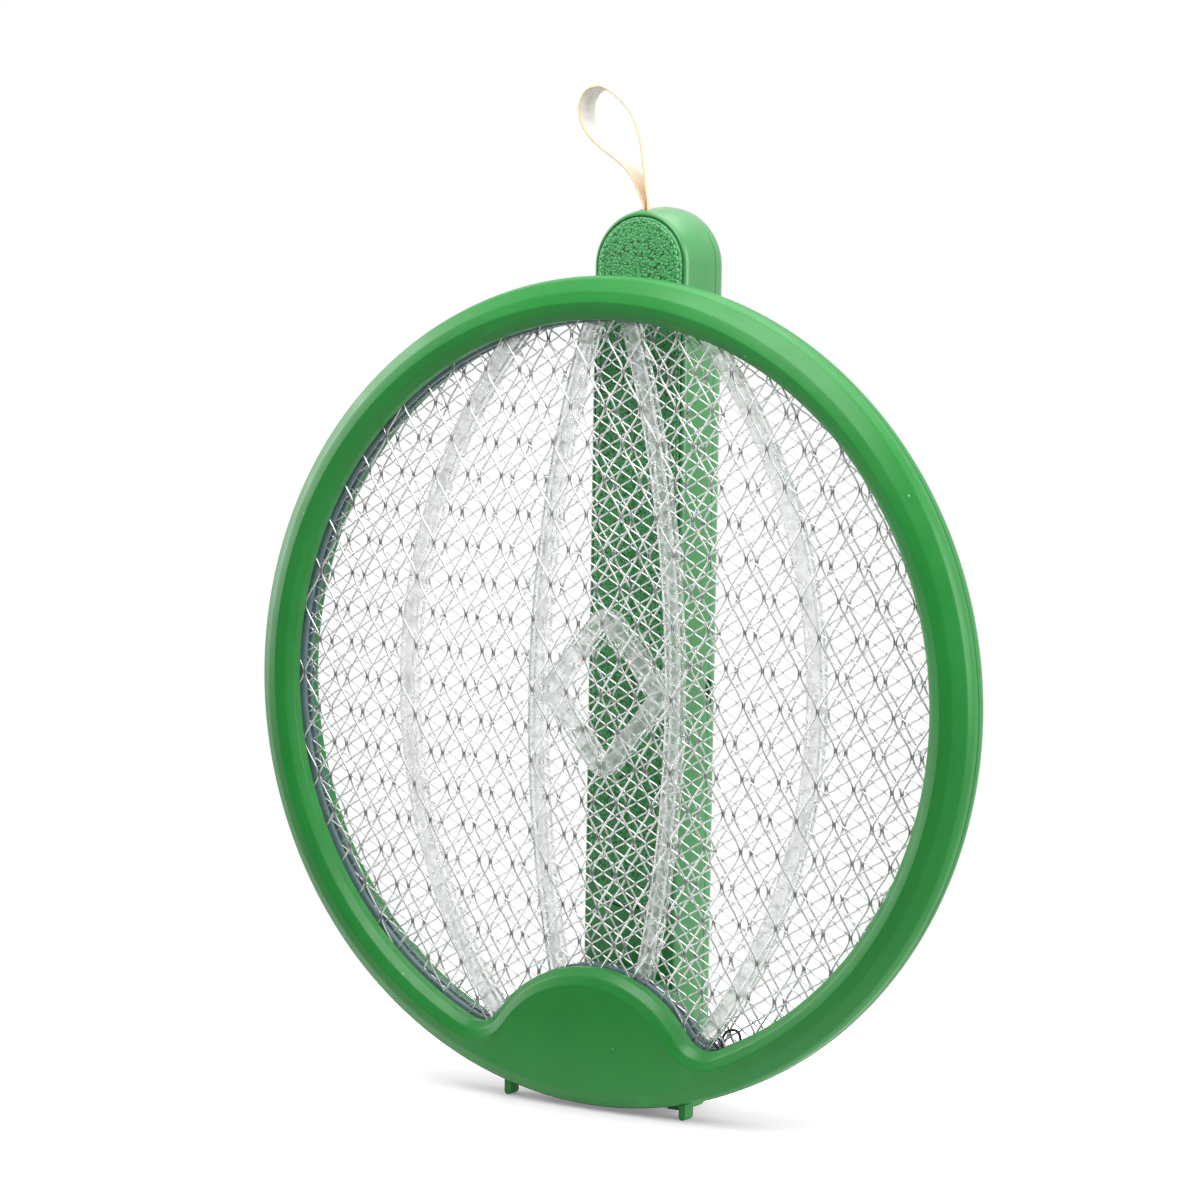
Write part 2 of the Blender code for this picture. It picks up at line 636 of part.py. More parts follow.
def handle_front_shell(handle):
    seam = HANDLE_SEAM_Y - SEAM_GAP / 2
    recess = PAD_HALF_WIDTH + CLEARANCE
    recess_outline = handle_outline(recess, PAD_BOTTOM_Z - CLEARANCE, recess - PAD_CORNER_INSET)
    face_outline = handle_outline(HANDLE_FACE_HALF_WIDTH, HANDLE_BOTTOM_Z + 0.0004, HANDLE_CORNER)
    loops = [at_y(recess_outline, PAD_RECESS_Y), at_y(recess_outline, HANDLE_FRONT_Y)]
    loops.append(at_y(face_outline, HANDLE_FRONT_Y))
    for y in (*HANDLE_LEVELS, seam):
        loops.append(at_y(handle_outline(handle_half_width(y), HANDLE_BOTTOM_Z, HANDLE_CORNER), y))
    inner_bottom, inner_corner = HANDLE_BOTTOM_Z + HANDLE_WALL, HANDLE_CORNER - HANDLE_WALL / 2
    for y in (seam, HANDLE_LEVELS[-1], HANDLE_CAVITY_Y):
        half = handle_half_width(y) - HANDLE_WALL
        loops.append(at_y(handle_outline(half, inner_bottom, inner_corner), y))
    shell = place("handle_front_shell", loft(loops), handle, handle["centre"])
    paint(shell, "green_handle", GREEN, 0.42)
    post_end = HANDLE_POST_SPLIT_Y[0]
    posts = handle_screw_posts(FRONT_HANDLE_POST_RADIUS, HANDLE_CAVITY_Y - 0.0005, post_end)
    shape_with(shell, "UNION", posts)
    strap_end = STRAP_FRONT_Y + STRAP_WIDTH + CLEARANCE
    slit = box((-SLIT_HALF_WIDTH, STRAP_FRONT_Y - 0.0002, SLIT_Z[0]), (SLIT_HALF_WIDTH, strap_end, SLIT_Z[1]))
    reach = TANG_HALF_WIDTH + CLEARANCE
    tang_back = NECK_Y[1] + CLEARANCE
    tang = box((-reach, TANG_FRONT_Y - CLEARANCE, -0.0980), (reach, tang_back, TANG_TOP_Z - 0.0010))
    bores = handle_screw_posts(BORE_IN_POST - 0.0001, 0.0200, post_end + 0.0010)
    shape_with(shell, "DIFFERENCE", merged([slit, tang, bores, port_cutter()]))


def handle_rear_cover(handle):
    seam = HANDLE_SEAM_Y + SEAM_GAP / 2
    edge_centre = HANDLE_REAR_Y - HANDLE_EDGE_RADIUS
    loops = [at_y(handle_outline(handle_half_width(seam), HANDLE_BOTTOM_Z, HANDLE_CORNER), seam)]
    core = HANDLE_HALF_WIDTH - 0.0001 - HANDLE_EDGE_RADIUS
    for turn in (0, 30, 60, 90):
        out = HANDLE_EDGE_RADIUS * math.cos(math.radians(turn))
        y = edge_centre + HANDLE_EDGE_RADIUS * math.sin(math.radians(turn))
        rise = (HANDLE_EDGE_RADIUS - out) * 0.6
        loops.append(at_y(handle_outline(core + out, HANDLE_BOTTOM_Z + rise, HANDLE_CORNER - rise / 4), y))
    loops.reverse()
    inner_y = HANDLE_REAR_Y - HANDLE_WALL
    inner_radius = HANDLE_EDGE_RADIUS - HANDLE_WALL
    inner_bottom = HANDLE_BOTTOM_Z + HANDLE_WALL
    for half, y in ((core + inner_radius, seam), (core + inner_radius, edge_centre), (core, inner_y)):
        loops.append(at_y(handle_outline(half, inner_bottom + 0.0006, HANDLE_CORNER - 0.0008), y))
    cover = place("handle_rear_cover", loft(loops), handle, handle["centre"])
    paint(cover, "green_handle", GREEN, 0.42)
    post_start = HANDLE_POST_SPLIT_Y[1]
    shape_with(cover, "UNION", handle_screw_posts(REAR_HANDLE_POST_RADIUS, post_start, inner_y + 0.0005))
    outside, inside = HANDLE_REAR_Y + 0.0020, inner_y - 0.0015
    cuts = [stepped_bore(spot, 0.0290, HANDLE_COUNTERBORE_Y, outside) for spot in HANDLE_SCREW_PLACES]
    hole = BUTTON_RADIUS + CLEARANCE
    cuts.append(turned([(hole, inside), (hole, outside)], (0, BUTTON_Z), 24))
    hole = LED_RADIUS + CLEARANCE
    cuts.append(turned([(hole, inside), (hole, outside)], (0, LED_Z), 12))
    half_x, half_z = SLIDER_KNOB[0] + CLEARANCE, SLIDER_KNOB[1] + CLEARANCE
    slot_top = SLIDER_Z + SLIDER_TRAVEL + half_z
    cuts.append(box((-half_x, inside, SLIDER_Z - half_z), (half_x, outside, slot_top)))
    cuts.append(port_cutter())
    shape_with(cover, "DIFFERENCE", merged(cuts))


def grip_pad(handle):
    """The leather-look pad, with a small chamfer, in the recess of the handle's front face."""
    back = PAD_RECESS_Y - CLEARANCE
    edge_in, edge_back = PAD_EDGE
    loops = []
    for inset, y in ((0, back), (0, PAD_FRONT_Y + edge_back), (edge_in, PAD_FRONT_Y)):
        half = PAD_HALF_WIDTH - inset
        loops.append(at_y(handle_outline(half, PAD_BOTTOM_Z + inset, half - PAD_CORNER_INSET), y))
    pad = place("grip_pad", loft(loops), handle, handle["centre"])
    paint(pad, "grip_leather", DARK_GREEN, 0.6)


def hinge_knuckle(handle):
    """The barrel that turns on the pin, with a neck and a tang that reaches into the handle."""
    width = BARREL_HALF_WIDTH
    barrel = turned([(BARREL_RADIUS, -width), (BARREL_RADIUS, width)], (HINGE_Y, HINGE_Z), 20, "x")
    knuckle = place("hinge_knuckle", barrel, handle, handle["centre"])
    paint(knuckle, "green_knuckle", GREEN, 0.45)
    front, back = NECK_Y
    neck_top = HANDLE_BOTTOM_Z - CLEARANCE
    neck = box((-NECK_HALF_WIDTH, front, HINGE_Z), (NECK_HALF_WIDTH, back, neck_top))
    tang = box((-TANG_HALF_WIDTH, TANG_FRONT_Y, HINGE_Z + 0.002), (TANG_HALF_WIDTH, back, TANG_TOP_Z))
    shape_with(knuckle, "UNION", neck)
    shape_with(knuckle, "UNION", tang)
    shape_with(knuckle, "DIFFERENCE", hinge_bore(-0.02, 0.02))


def handle_electronics(handle):
    centre = handle["centre"]
    cell = turned(BATTERY_PROFILE, (0, 0), 16, "x")
    cell.transform(Matrix.Rotation(math.radians(-90), 4, "Y"))
    cell.transform(Matrix.Translation((0, BATTERY_Y, 0)))
    battery = place("battery_cell", cell, handle, centre)
    paint(battery, "cell_wrap", CELL_BLUE, 0.35)
    board = place("main_board", box(*MAIN_BOARD), handle, centre)
    paint(board, "circuit_board", BOARD_GREEN, 0.45)
    usb_socket(handle)
    half = TACT_HALF
    body = box((-half, BOARD_TOP_Y, BUTTON_Z - half), (half, TACT_TOP_Y, BUTTON_Z + half))
    tact = place("tact_switch", body, handle, centre)
    paint(tact, "switch_black", BLACK, 0.45)
    half_x, half_z = SWITCH_HALF
    top_z = SLIDER_Z + SLIDER_TRAVEL + half_z
    body = box((-half_x, BOARD_TOP_Y, SLIDER_Z - half_z), (half_x, SWITCH_TOP_Y, top_z))
    switch = place("slide_switch_body", body, handle, centre)
    paint(switch, "socket_steel", STEEL, 0.3, 1.0)
    profile = [(LED_RADIUS, BOARD_TOP_Y), (LED_RADIUS, HANDLE_REAR_Y - 0.0002)]
    profile += [(LED_RADIUS * 0.6, HANDLE_REAR_Y + 0.0003)]
    led = place("status_led", turned(profile, (0, LED_Z), 12), handle, centre)
    paint(led, "led_lens", CLEAR, 0.1)


def usb_socket(handle):
    """The charging socket's steel shell, open towards the port."""
    near, far = SOCKET_X
    low, high = PORT_Z - SOCKET_HALF_HEIGHT, PORT_Z + SOCKET_HALF_HEIGHT
    body = box((near, BOARD_TOP_Y, low), (far, SOCKET_TOP_Y, high))
    socket = place("usb_socket", body, handle, handle["centre"])
    paint(socket, "socket_steel", STEEL, 0.3, 1.0)
    wall = SOCKET_WALL
    corner = (far + 0.0014, SOCKET_TOP_Y - wall, high - wall)
    mouth = box((near + 0.0018, BOARD_TOP_Y + wall, low + wall), corner)
    shape_with(socket, "DIFFERENCE", mouth)


def zap_button(handle):
    """A round push button: a cap through the cover, a flange that keeps it in, and a stem over its switch."""
    under = HANDLE_REAR_Y - HANDLE_WALL - CLEARANCE
    top = HANDLE_REAR_Y + BUTTON_PROUD
    edge_in, edge_down = BUTTON_EDGE
    profile = [(BUTTON_STEM_RADIUS, STEM_END_Y), (BUTTON_STEM_RADIUS, CAP_BACK_Y)]
    profile += [(BUTTON_FLANGE_RADIUS, CAP_BACK_Y), (BUTTON_FLANGE_RADIUS, under)]
    profile += [(BUTTON_RADIUS, under), (BUTTON_RADIUS, top - edge_down), (BUTTON_RADIUS - edge_in, top)]
    button = place("zap_button", turned(profile, (0, BUTTON_Z), 24), handle, (0, HANDLE_REAR_Y, BUTTON_Z))
    paint(button, "button_plastic", DARK_GREEN, 0.4)


def mode_slider(handle):
    """The slide switch's knob, with a plate inside the cover that keeps it in."""
    half, under = SLIDER_PLATE, HANDLE_REAR_Y - HANDLE_WALL - CLEARANCE
    plate = box((-half, CAP_BACK_Y - 0.0004, SLIDER_Z - half), (half, under, SLIDER_Z + half))
    slider = place("mode_slider", plate, handle, (0, HANDLE_REAR_Y, SLIDER_Z))
    paint(slider, "slider_plastic", WHITE, 0.4)
    half_x, half_z = SLIDER_KNOB
    top = HANDLE_REAR_Y + SLIDER_PROUD
    knob = box((-half_x, CAP_BACK_Y, SLIDER_Z - half_z), (half_x, top, SLIDER_Z + half_z))
    half_x, half_z = SLIDER_STEM
    stem = box((-half_x, STEM_END_Y, SLIDER_Z - half_z), (half_x, CAP_BACK_Y, SLIDER_Z + half_z))
    shape_with(slider, "UNION", knob)
    shape_with(slider, "UNION", stem)


def strap_line():
    """The hanging loop's middle line, as (x, z), from one side of its pin round to the other."""
    route = [(-0.0018, 0.1240), (-0.0012, 0.1262), (-0.0006, 0.1285), (-0.0008, 0.1311), (-0.0021, 0.1337),
             (-0.0040, 0.1373), (-0.0068, 0.1409), (-0.0107, 0.1439), (-0.0149, 0.1466), (-0.0182, 0.1494),
             (-0.0208, 0.1527), (-0.0218, 0.1562), (-0.0214, 0.1597), (-0.0193, 0.1624), (-0.0154, 0.1631),
             (-0.0120, 0.1617), (-0.0088, 0.1594), (-0.0055, 0.1559), (-0.0034, 0.1520), (-0.0022, 0.1483),
             (-0.0013, 0.1430), (-0.0005, 0.1376), (0.0002, 0.1335), (0.0006, 0.1311), (0.0006, 0.1285),
             (0.0012, 0.1262), (0.0018, 0.1240)]
    return [(p.x, p.z) for p in smooth_line([(x, 0, z) for x, z in route], 2)]


def wrist_strap(handle):
    outline = band(strap_line(), STRAP_THICKNESS)
    mesh = prism(outline, STRAP_FRONT_Y, STRAP_FRONT_Y + STRAP_WIDTH)
    strap = place("wrist_strap", mesh, handle, handle["centre"])
    paint(strap, "ribbon", CREAM, 0.55)
    profile = [(STRAP_PIN_RADIUS, STRAP_FRONT_Y), (STRAP_PIN_RADIUS, STRAP_PIN_END_Y)]
    pin = place("strap_pin", turned(profile, (0, STRAP_PIN_Z), 10), handle, handle["centre"])
    paint(pin, "steel_pin", STEEL, 0.25, 1.0)


# ---------------------------------------------------------------- assembly


def build_head(head):
    front_ring_shell(head)
    rear_ring_shell(head)
    lattice("front_grid", head, FRONT_GRID_Y, COARSE_CELL, 0.0005)
    lattice("middle_grid", head, MIDDLE_GRID_Y, FINE_CELL, 0.0)
    lattice("rear_grid", head, REAR_GRID_Y, COARSE_CELL, 0.0016)
    rib_frame("front_rib_frame", head, (FRONT_GRID_Y + MIDDLE_GRID_Y) / 2)
    rib_frame("rear_rib_frame", head, (MIDDLE_GRID_Y + REAR_GRID_Y) / 2)
    foot("foot_left", head, -1)
    foot("foot_right", head, 1)
    hinge_fork(head)
    hinge_pin(head)
    hinge_washer("hinge_washer_left", head, -1)
    hinge_washer("hinge_washer_right", head, 1)
    hump_electronics(head)
    grid_lead("front_grid_lead", head, (FRONT_GRID_Y + MIDDLE_GRID_Y) / 2, -0.0960)
    grid_lead("rear_grid_lead", head, (MIDDLE_GRID_Y + REAR_GRID_Y) / 2, -0.1010)
    for number, spot in enumerate(ring_screw_places(), 1):
        screw(f"ring_screw_{number}", head, spot, 0.0094, -0.0020)
    for number, side in enumerate((-1, 1), 1):
        spot = (side * FORK_SCREW_X, FORK_SCREW_Z)
        screw(f"fork_screw_{number}", head, spot, 0.0136, 0.0040)


def build_handle(handle):
    handle_front_shell(handle)
    handle_rear_cover(handle)
    grip_pad(handle)
    hinge_knuckle(handle)
    handle_electronics(handle)
    zap_button(handle)
    mode_slider(handle)
    wrist_strap(handle)
    for number, spot in enumerate(HANDLE_SCREW_PLACES, 1):
        screw(f"handle_screw_{number}", handle, spot, 0.0358, 0.0215)


def clear_scene():
    for obj in list(bpy.data.objects):
        bpy.data.objects.remove(obj)


def main():
    clear_scene()
    head = group("head", (0, 0, 0))
    head.location = (0, HEAD_Y, -FLOOR_Z)
    handle = group("handle", (0, HINGE_Y, HINGE_Z), head)
    handle.location = (0, HINGE_Y, HINGE_Z)
    build_head(head)
    build_handle(handle)


main()
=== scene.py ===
"""The looks of a folding round electric mosquito swatter: shells, grids, clear ribs, leather pad and strap.

Lengths are in metres and angles in degrees. Shapes are worked out in the head's frame: its origin is the
ring's centre on the front grid, x to the right, y to the back and z up. ORIGIN is that centre's place in the
loaded frame.
"""

import math

import bmesh
import bpy
import numpy as np
from mathutils import Matrix, Vector, noise


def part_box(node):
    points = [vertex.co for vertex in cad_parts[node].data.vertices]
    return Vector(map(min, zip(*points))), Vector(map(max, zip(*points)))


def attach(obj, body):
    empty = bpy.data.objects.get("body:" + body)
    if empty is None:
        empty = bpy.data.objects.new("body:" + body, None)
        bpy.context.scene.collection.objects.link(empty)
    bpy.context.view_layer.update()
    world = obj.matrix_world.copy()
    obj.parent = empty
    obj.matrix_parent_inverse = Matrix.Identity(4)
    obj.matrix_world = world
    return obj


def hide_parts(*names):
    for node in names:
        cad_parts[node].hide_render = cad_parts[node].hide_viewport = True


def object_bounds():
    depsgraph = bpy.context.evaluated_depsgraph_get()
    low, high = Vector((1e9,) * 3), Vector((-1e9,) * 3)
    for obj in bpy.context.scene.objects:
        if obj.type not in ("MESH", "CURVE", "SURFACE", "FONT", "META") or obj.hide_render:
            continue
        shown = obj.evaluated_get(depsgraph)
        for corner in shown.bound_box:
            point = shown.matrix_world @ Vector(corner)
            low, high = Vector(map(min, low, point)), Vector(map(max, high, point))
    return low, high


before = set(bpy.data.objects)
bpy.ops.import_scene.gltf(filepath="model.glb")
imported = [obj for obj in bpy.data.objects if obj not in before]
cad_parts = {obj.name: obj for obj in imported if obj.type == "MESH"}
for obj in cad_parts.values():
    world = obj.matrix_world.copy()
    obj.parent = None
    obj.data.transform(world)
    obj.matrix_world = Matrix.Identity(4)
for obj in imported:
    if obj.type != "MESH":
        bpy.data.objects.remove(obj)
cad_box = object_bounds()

# Head, as the CAD has it
RING_RADIUS = 0.1115
OPENING_RADIUS = 0.1000
HUMP_CENTRE_Z = -0.1100
HUMP_RADIUS = 0.0360
FILLET_X = 0.0360
FILLET_Z = -0.08467
FILLET_RADIUS = 0.0080
FRONT_Y = -0.0066
RING_SEAM_Y = 0.0009
SEAM_GAP = 0.0003
FRONT_GRID_Y = 0.0
MIDDLE_GRID_Y = 0.0028
REAR_GRID_Y = 0.0056
RIB_FRAME_THICKNESS = 0.0016
# The real grids: cell width and height, strand width and thickness
OUTER_CELL = (0.0110, 0.01924)
MIDDLE_CELL = (0.00675, 0.00443)
OUTER_STRAND = (0.00056, 0.00044)
MIDDLE_STRAND = (0.00040, 0.00032)
GRID_CLAMP = 0.0019
FRONT_GRID_DROP = 0.00046
REAR_GRID_DROP = 0.00156
STRAND_SIDES = 6
# Neighbouring strands' middle lines come this close where they touch, as a share of the strand's width
NODE_GAP = 0.84
# The share of the zigzag's swing from which a strand's colour starts to darken, as painted shade where it
# touches its neighbour
NODE_START = 0.80
# Ribs
RIB_WIDTH = 0.0042
RIB_FACET_PITCH = 0.0054
OUTER_RIB = ((0.0280, 0.0972), (0.0642, 0.0065), (0.0310, -0.0925))
INNER_RIB = ((0.0052, 0.1012), (0.0215, 0.0050), (0.0132, -0.0778))
DIAMOND_HALF_WIDTH = 0.02075
DIAMOND_HALF_HEIGHT = 0.0255
DIAMOND_BAR = 0.0050
DIAMOND_CORNER = 0.0035
RIM_HALF_WIDTH = 0.0015
RIM_BEVEL = 0.0002
BAR_STEP = 0.0006
# Handle, folded
HANDLE_FRONT_Y = 0.0165
HANDLE_SEAM_Y = 0.0293
HANDLE_REAR_Y = 0.0360
HANDLE_HALF_WIDTH = 0.0164
HANDLE_FACE_HALF_WIDTH = 0.0141
HANDLE_SIDE_BULGE = 0.0420
HANDLE_TOP_Z = 0.1145
HANDLE_BOTTOM_Z = -0.0955
HANDLE_CORNER = 0.0040
HANDLE_WALL = 0.0015
HANDLE_CAVITY_Y = 0.0184
HANDLE_EDGE_RADIUS = 0.0050
HANDLE_SIDE_YS = (0.0171, 0.0185, 0.0210, 0.0245)
PAD_HALF_WIDTH = 0.0132
PAD_RECESS_Y = 0.0173
PAD_FRONT_Y = 0.0161
PAD_BOTTOM_Z = -0.0600
PAD_GAP = 0.0003
PAD_FOOT_FLAT = 0.0010
GRAIN_SIZE = 0.00090
STITCH_INSET = 0.0010
STITCH_PITCH = 0.0016
STITCH_RADIUS = 0.00016
PORT_Z = -0.0010
PORT_TALL = 0.0092
PORT_THIN = 0.0032
# Hanging loop
STRAP_WIDTH = 0.0080
STRAP_FRONT_Y = 0.0187
# The ribbon's inner side gets a painted warm bounce light from this height down, over this length
BOUNCE_TOP_Z = 0.1450
BOUNCE_LENGTH = 0.0150
# Controls and fasteners
BUTTON_Z = -0.0380
BUTTON_RADIUS = 0.0060
BUTTON_PROUD = 0.0012
SLIDER_Z = -0.0600
SLIDER_TRAVEL = 0.0050
LED_Z = -0.0770
RING_SCREW_RADIUS = 0.1059
RING_SCREW_ANGLES = (20, 60, 120, 160, 215, 325)
HANDLE_SCREW_PLACES = ((-0.0105, 0.1060), (0.0105, 0.1060), (-0.0105, -0.0880), (0.0105, -0.0880))
FORK_SCREW_PLACES = ((-0.0065, -0.0900), (0.0065, -0.0900))
LEAD_RADIUS = 0.00030
CREASE = 32
# Camera: azimuth, elevation and roll, its place from the ring's centre, and its lens in millimetres
CAMERA_ANGLES = (32.0, 4.21, 0.93)
CAMERA_PLACE = Vector((0.4935, -0.7909, 0.0937))
CAMERA_LENS = 104.87
# Lights: name, place, size and power in watts. All face one spot
LIGHTS = (
    ("top_light", (0.10, 0.30, 1.20), 0.9, 5.0),
    ("near_light", (0.05, -0.20, 0.42), 0.25, 0.95),
    ("right_light", (1.40, -0.05, 0.50), 1.0, 13.0),
    ("left_light", (-1.40, -0.20, 0.50), 1.0, 11.0),
)
LIT_SPOT = Vector((0, 0, 0.12))
# Floor: the patch's half width, where it starts to fade, how solid it is there, and its width over its depth
FLOOR_REACH = 0.27
FLOOR_SOLID = 0.03
FLOOR_OPACITY = 0.80
FLOOR_FLATNESS = 2.2
FLOOR_SIDES = 96

ring_low, ring_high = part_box("front_ring_shell")
ORIGIN = Vector((0, ring_low[1] - FRONT_Y, ring_high[2] - RING_RADIUS))


# ---------------------------------------------------------------- camera


def make_camera():
    """A long lens in front of the head, to its right and a little above its centre."""
    azimuth, elevation, roll = (math.radians(angle) for angle in CAMERA_ANGLES)
    forward = Vector((-math.sin(azimuth) * math.cos(elevation), math.cos(azimuth) * math.cos(elevation),
                      -math.sin(elevation)))
    level = Vector((math.cos(azimuth), math.sin(azimuth), 0))
    upright = level.cross(forward)
    right = level * math.cos(roll) + upright * math.sin(roll)
    up = right.cross(forward)
    data = bpy.data.cameras.new("camera")
    data.sensor_width = 36
    data.lens = CAMERA_LENS
    data.clip_start = 0.01
    camera = bpy.data.objects.new("camera", data)
    bpy.context.scene.collection.objects.link(camera)
    turn = Matrix((right, up, -forward)).transposed().to_4x4()
    camera.matrix_world = Matrix.Translation(ORIGIN + CAMERA_PLACE) @ turn
    bpy.context.scene.camera = camera


# ---------------------------------------------------------------- outlines, as lists of (x, z)


def arc(centre, radius, start, stop, steps):
    """Points on a circle from one angle to another, both ends included."""
    turns = [math.radians(start + (stop - start) * i / steps) for i in range(steps + 1)]
    return [(centre[0] + radius * math.cos(t), centre[1] + radius * math.sin(t)) for t in turns]


def circle(centre, radius, steps):
    return arc(centre, radius, 0, 360, steps)[:-1]


def opening(offset):
    """The head's opening, grown by offset: a circle, with the hump rising into it between two fillets."""
    meet = math.degrees(math.atan2(FILLET_Z, FILLET_X))
    rise = math.degrees(math.atan2(FILLET_Z - HUMP_CENTRE_Z, FILLET_X))
    fillet = FILLET_RADIUS + offset
    main = arc((0, 0), OPENING_RADIUS + offset, meet, 180 - meet, 180)
    left = arc((-FILLET_X, FILLET_Z), fillet, 180 - meet, 360 - rise, 14)
    hump = arc((0, HUMP_CENTRE_Z), HUMP_RADIUS - offset, 180 - rise, rise, 40)
    right = arc((FILLET_X, FILLET_Z), fillet, 180 + rise, 360 + meet, 14)
    return main + left[1:] + hump[1:] + right[1:-1]


def rim(radius):
    """A circle with one point at the polar angle of each of the opening's points."""
    angles = [math.atan2(z, x) for x, z in opening(0)]
    return [(radius * math.cos(a), radius * math.sin(a)) for a in angles]


def handle_outline(half_width, bottom, corner):
    """The handle seen from the front: a half circle on top, and two rounded corners below."""
    inset = half_width - corner
    top = arc((0, HANDLE_TOP_Z), half_width, 0, 180, 56)
    left = arc((-inset, bottom + corner), corner, 180, 270, 12)
    right = arc((inset, bottom + corner), corner, 270, 360, 12)
    return top + left + right


def handle_half_width(y):
    """The handle's side swells towards the seam in one long arc."""
    return HANDLE_HALF_WIDTH - (HANDLE_SEAM_Y - y) ** 2 / (2 * HANDLE_SIDE_BULGE)


def arc_through(first, middle, last, steps):
    """An arc from the first point to the last through the middle one."""
    (ax, az), (bx, bz), (cx, cz) = first, middle, last
    d = 2 * (ax * (bz - cz) + bx * (cz - az) + cx * (az - bz))
    a, b, c = ax * ax + az * az, bx * bx + bz * bz, cx * cx + cz * cz
    x = (a * (bz - cz) + b * (cz - az) + c * (az - bz)) / d
    z = (a * (cx - bx) + b * (ax - cx) + c * (bx - ax)) / d
    start = math.degrees(math.atan2(az - z, ax - x))
    stop = math.degrees(math.atan2(cz - z, cx - x))
    sweep = (stop - start + 180) % 360 - 180
    return arc((x, z), math.hypot(ax - x, az - z), start, start + sweep, steps)


def rounded_diamond(half_width, half_height, corner, steps):
    """A diamond standing on a corner, with its corners rounded by that radius."""
    slope = math.degrees(math.atan2(half_width, half_height))
    reach_x = half_width - corner / math.cos(math.radians(slope))
    reach_z = half_height - corner / math.sin(math.radians(slope))
    points = arc((reach_x, 0), corner, -slope, slope, steps)
    points += arc((0, reach_z), corner, slope, 180 - slope, steps)
    points += arc((-reach_x, 0), corner, 180 - slope, 180 + slope, steps)
    return points + arc((0, -reach_z), corner, 180 + slope, 360 - slope, steps)


def smooth_line(points, steps):
    """A Catmull-Rom curve through the points, with that many steps in each stretch."""
    points = [Vector(p) for p in points]
    ends = [2 * points[0] - points[1]] + points + [2 * points[-1] - points[-2]]
    line = []
    for a, b, c, d in zip(ends, ends[1:], ends[2:], ends[3:]):
        for i in range(steps):
            t = i / steps
            bend = (2 * a - 5 * b + 4 * c - d) * t * t + (3 * b - a - 3 * c + d) * t**3
            line.append((2 * b + (c - a) * t + bend) / 2)
    return line + [points[-1]]


def spaced(line, step, closed=False):
    """The same line as an array, with its points about one step apart."""
    line = np.array(line, float)
    if closed:
        line = np.vstack([line, line[:1]])
    along = np.concatenate([[0], np.cumsum(np.linalg.norm(np.diff(line, axis=0), axis=1))])
    count = max(3, round(along[-1] / step))
    at = np.linspace(0, along[-1], count + 1)
    line = np.stack([np.interp(at, along, line[:, i]) for i in range(line.shape[1])], axis=1)
    return line[:-1] if closed else line


# ---------------------------------------------------------------- meshes, as (points, faces)


def at_y(outline, y):
    return [(x, y, z) for x, z in outline]


def loft(loops, joined=False):
    """A closed mesh over loops of equally many points. Its ends are capped, or meet each other if joined."""
    loops = np.asarray(loops, float)
    count, size = loops.shape[:2]
    faces = []
    for i in range(count if joined else count - 1):
        low, high = i * size, (i + 1) % count * size
        faces += [(low + j, low + (j + 1) % size, high + (j + 1) % size, high + j) for j in range(size)]
    if not joined:
        faces += [tuple(range(size)), tuple(range((count - 1) * size, count * size))]
    return loops.reshape(-1, 3), faces


def softened(loops, radii, steps=4, joined=False):
    """The loops, each replaced by a small curve that rounds a section's corner by about its radius."""
    loops = [np.asarray(loop, float) for loop in loops]
    count = len(loops)
    found = []
    for i, radius in enumerate(radii):
        here = loops[i]
        if radius == 0 or (not joined and i in (0, count - 1)):
            found.append(here)
            continue
        ends = []
        for other in (loops[i - 1], loops[(i + 1) % count]):
            gap = other - here
            reach = np.linalg.norm(gap, axis=1, keepdims=True)
            ends.append(here + gap * np.minimum(radius / np.maximum(reach, 1e-9), 0.48))
        for t in np.linspace(0, 1, steps + 1):
            found.append(ends[0] * (1 - t) ** 2 + here * 2 * t * (1 - t) + ends[1] * t * t)
    return found


def turned(profile, centre, steps):
    """A solid turned round an axis along y through centre. The profile lists (radius, y)."""
    return loft([at_y(circle(centre, radius, steps), y) for radius, y in profile])


def box(low, high):
    outline = [(low[0], low[2]), (high[0], low[2]), (high[0], high[2]), (low[0], high[2])]
    return loft([at_y(outline, low[1]), at_y(outline, high[1])])


def merged(parts):
    """Several closed meshes in one."""
    points, faces, start = [], [], 0
    for some_points, some_faces in parts:
        points.append(some_points)
        faces += [tuple(start + i for i in face) for face in some_faces]
        start += len(some_points)
    return np.vstack(points), faces


def sweep(line, section, closed=False):
    """A bar along a line that lies in one plane of constant y.

    The section lists (across, y), or is a function of the distance along the line that gives such a list.
    """
    line = np.asarray(line, float)
    if closed:
        ahead, behind = np.roll(line, -1, axis=0), np.roll(line, 1, axis=0)
    else:
        ahead, behind = np.vstack([line[1:], line[-1:]]), np.vstack([line[:1], line[:-1]])
    tangent = ahead - behind
    tangent /= np.linalg.norm(tangent, axis=1, keepdims=True)
    along = np.concatenate([[0], np.cumsum(np.linalg.norm(np.diff(line, axis=0), axis=1))])
    loops = []
    for (x, z), (tx, tz), place in zip(line, tangent, along):
        shape = section(place) if callable(section) else section
        loops.append([(x + tz * u, v, z - tx * u) for u, v in shape])
    return loft(loops, joined=closed)


def tube(line, radius, sides):
    """A round wire along any line in space."""
    line = [Vector(p) for p in line]
    normal = (line[1] - line[0]).orthogonal().normalized()
    loops = []
    for i, spot in enumerate(line):
        tangent = (line[min(i + 1, len(line) - 1)] - line[max(i - 1, 0)]).normalized()
        normal = (normal - tangent * normal.dot(tangent)).normalized()
        other = tangent.cross(normal)
        loops.append([spot + normal * radius * c + other * radius * s for c, s in circle((0, 0), 1, sides)])
    return loft(loops)


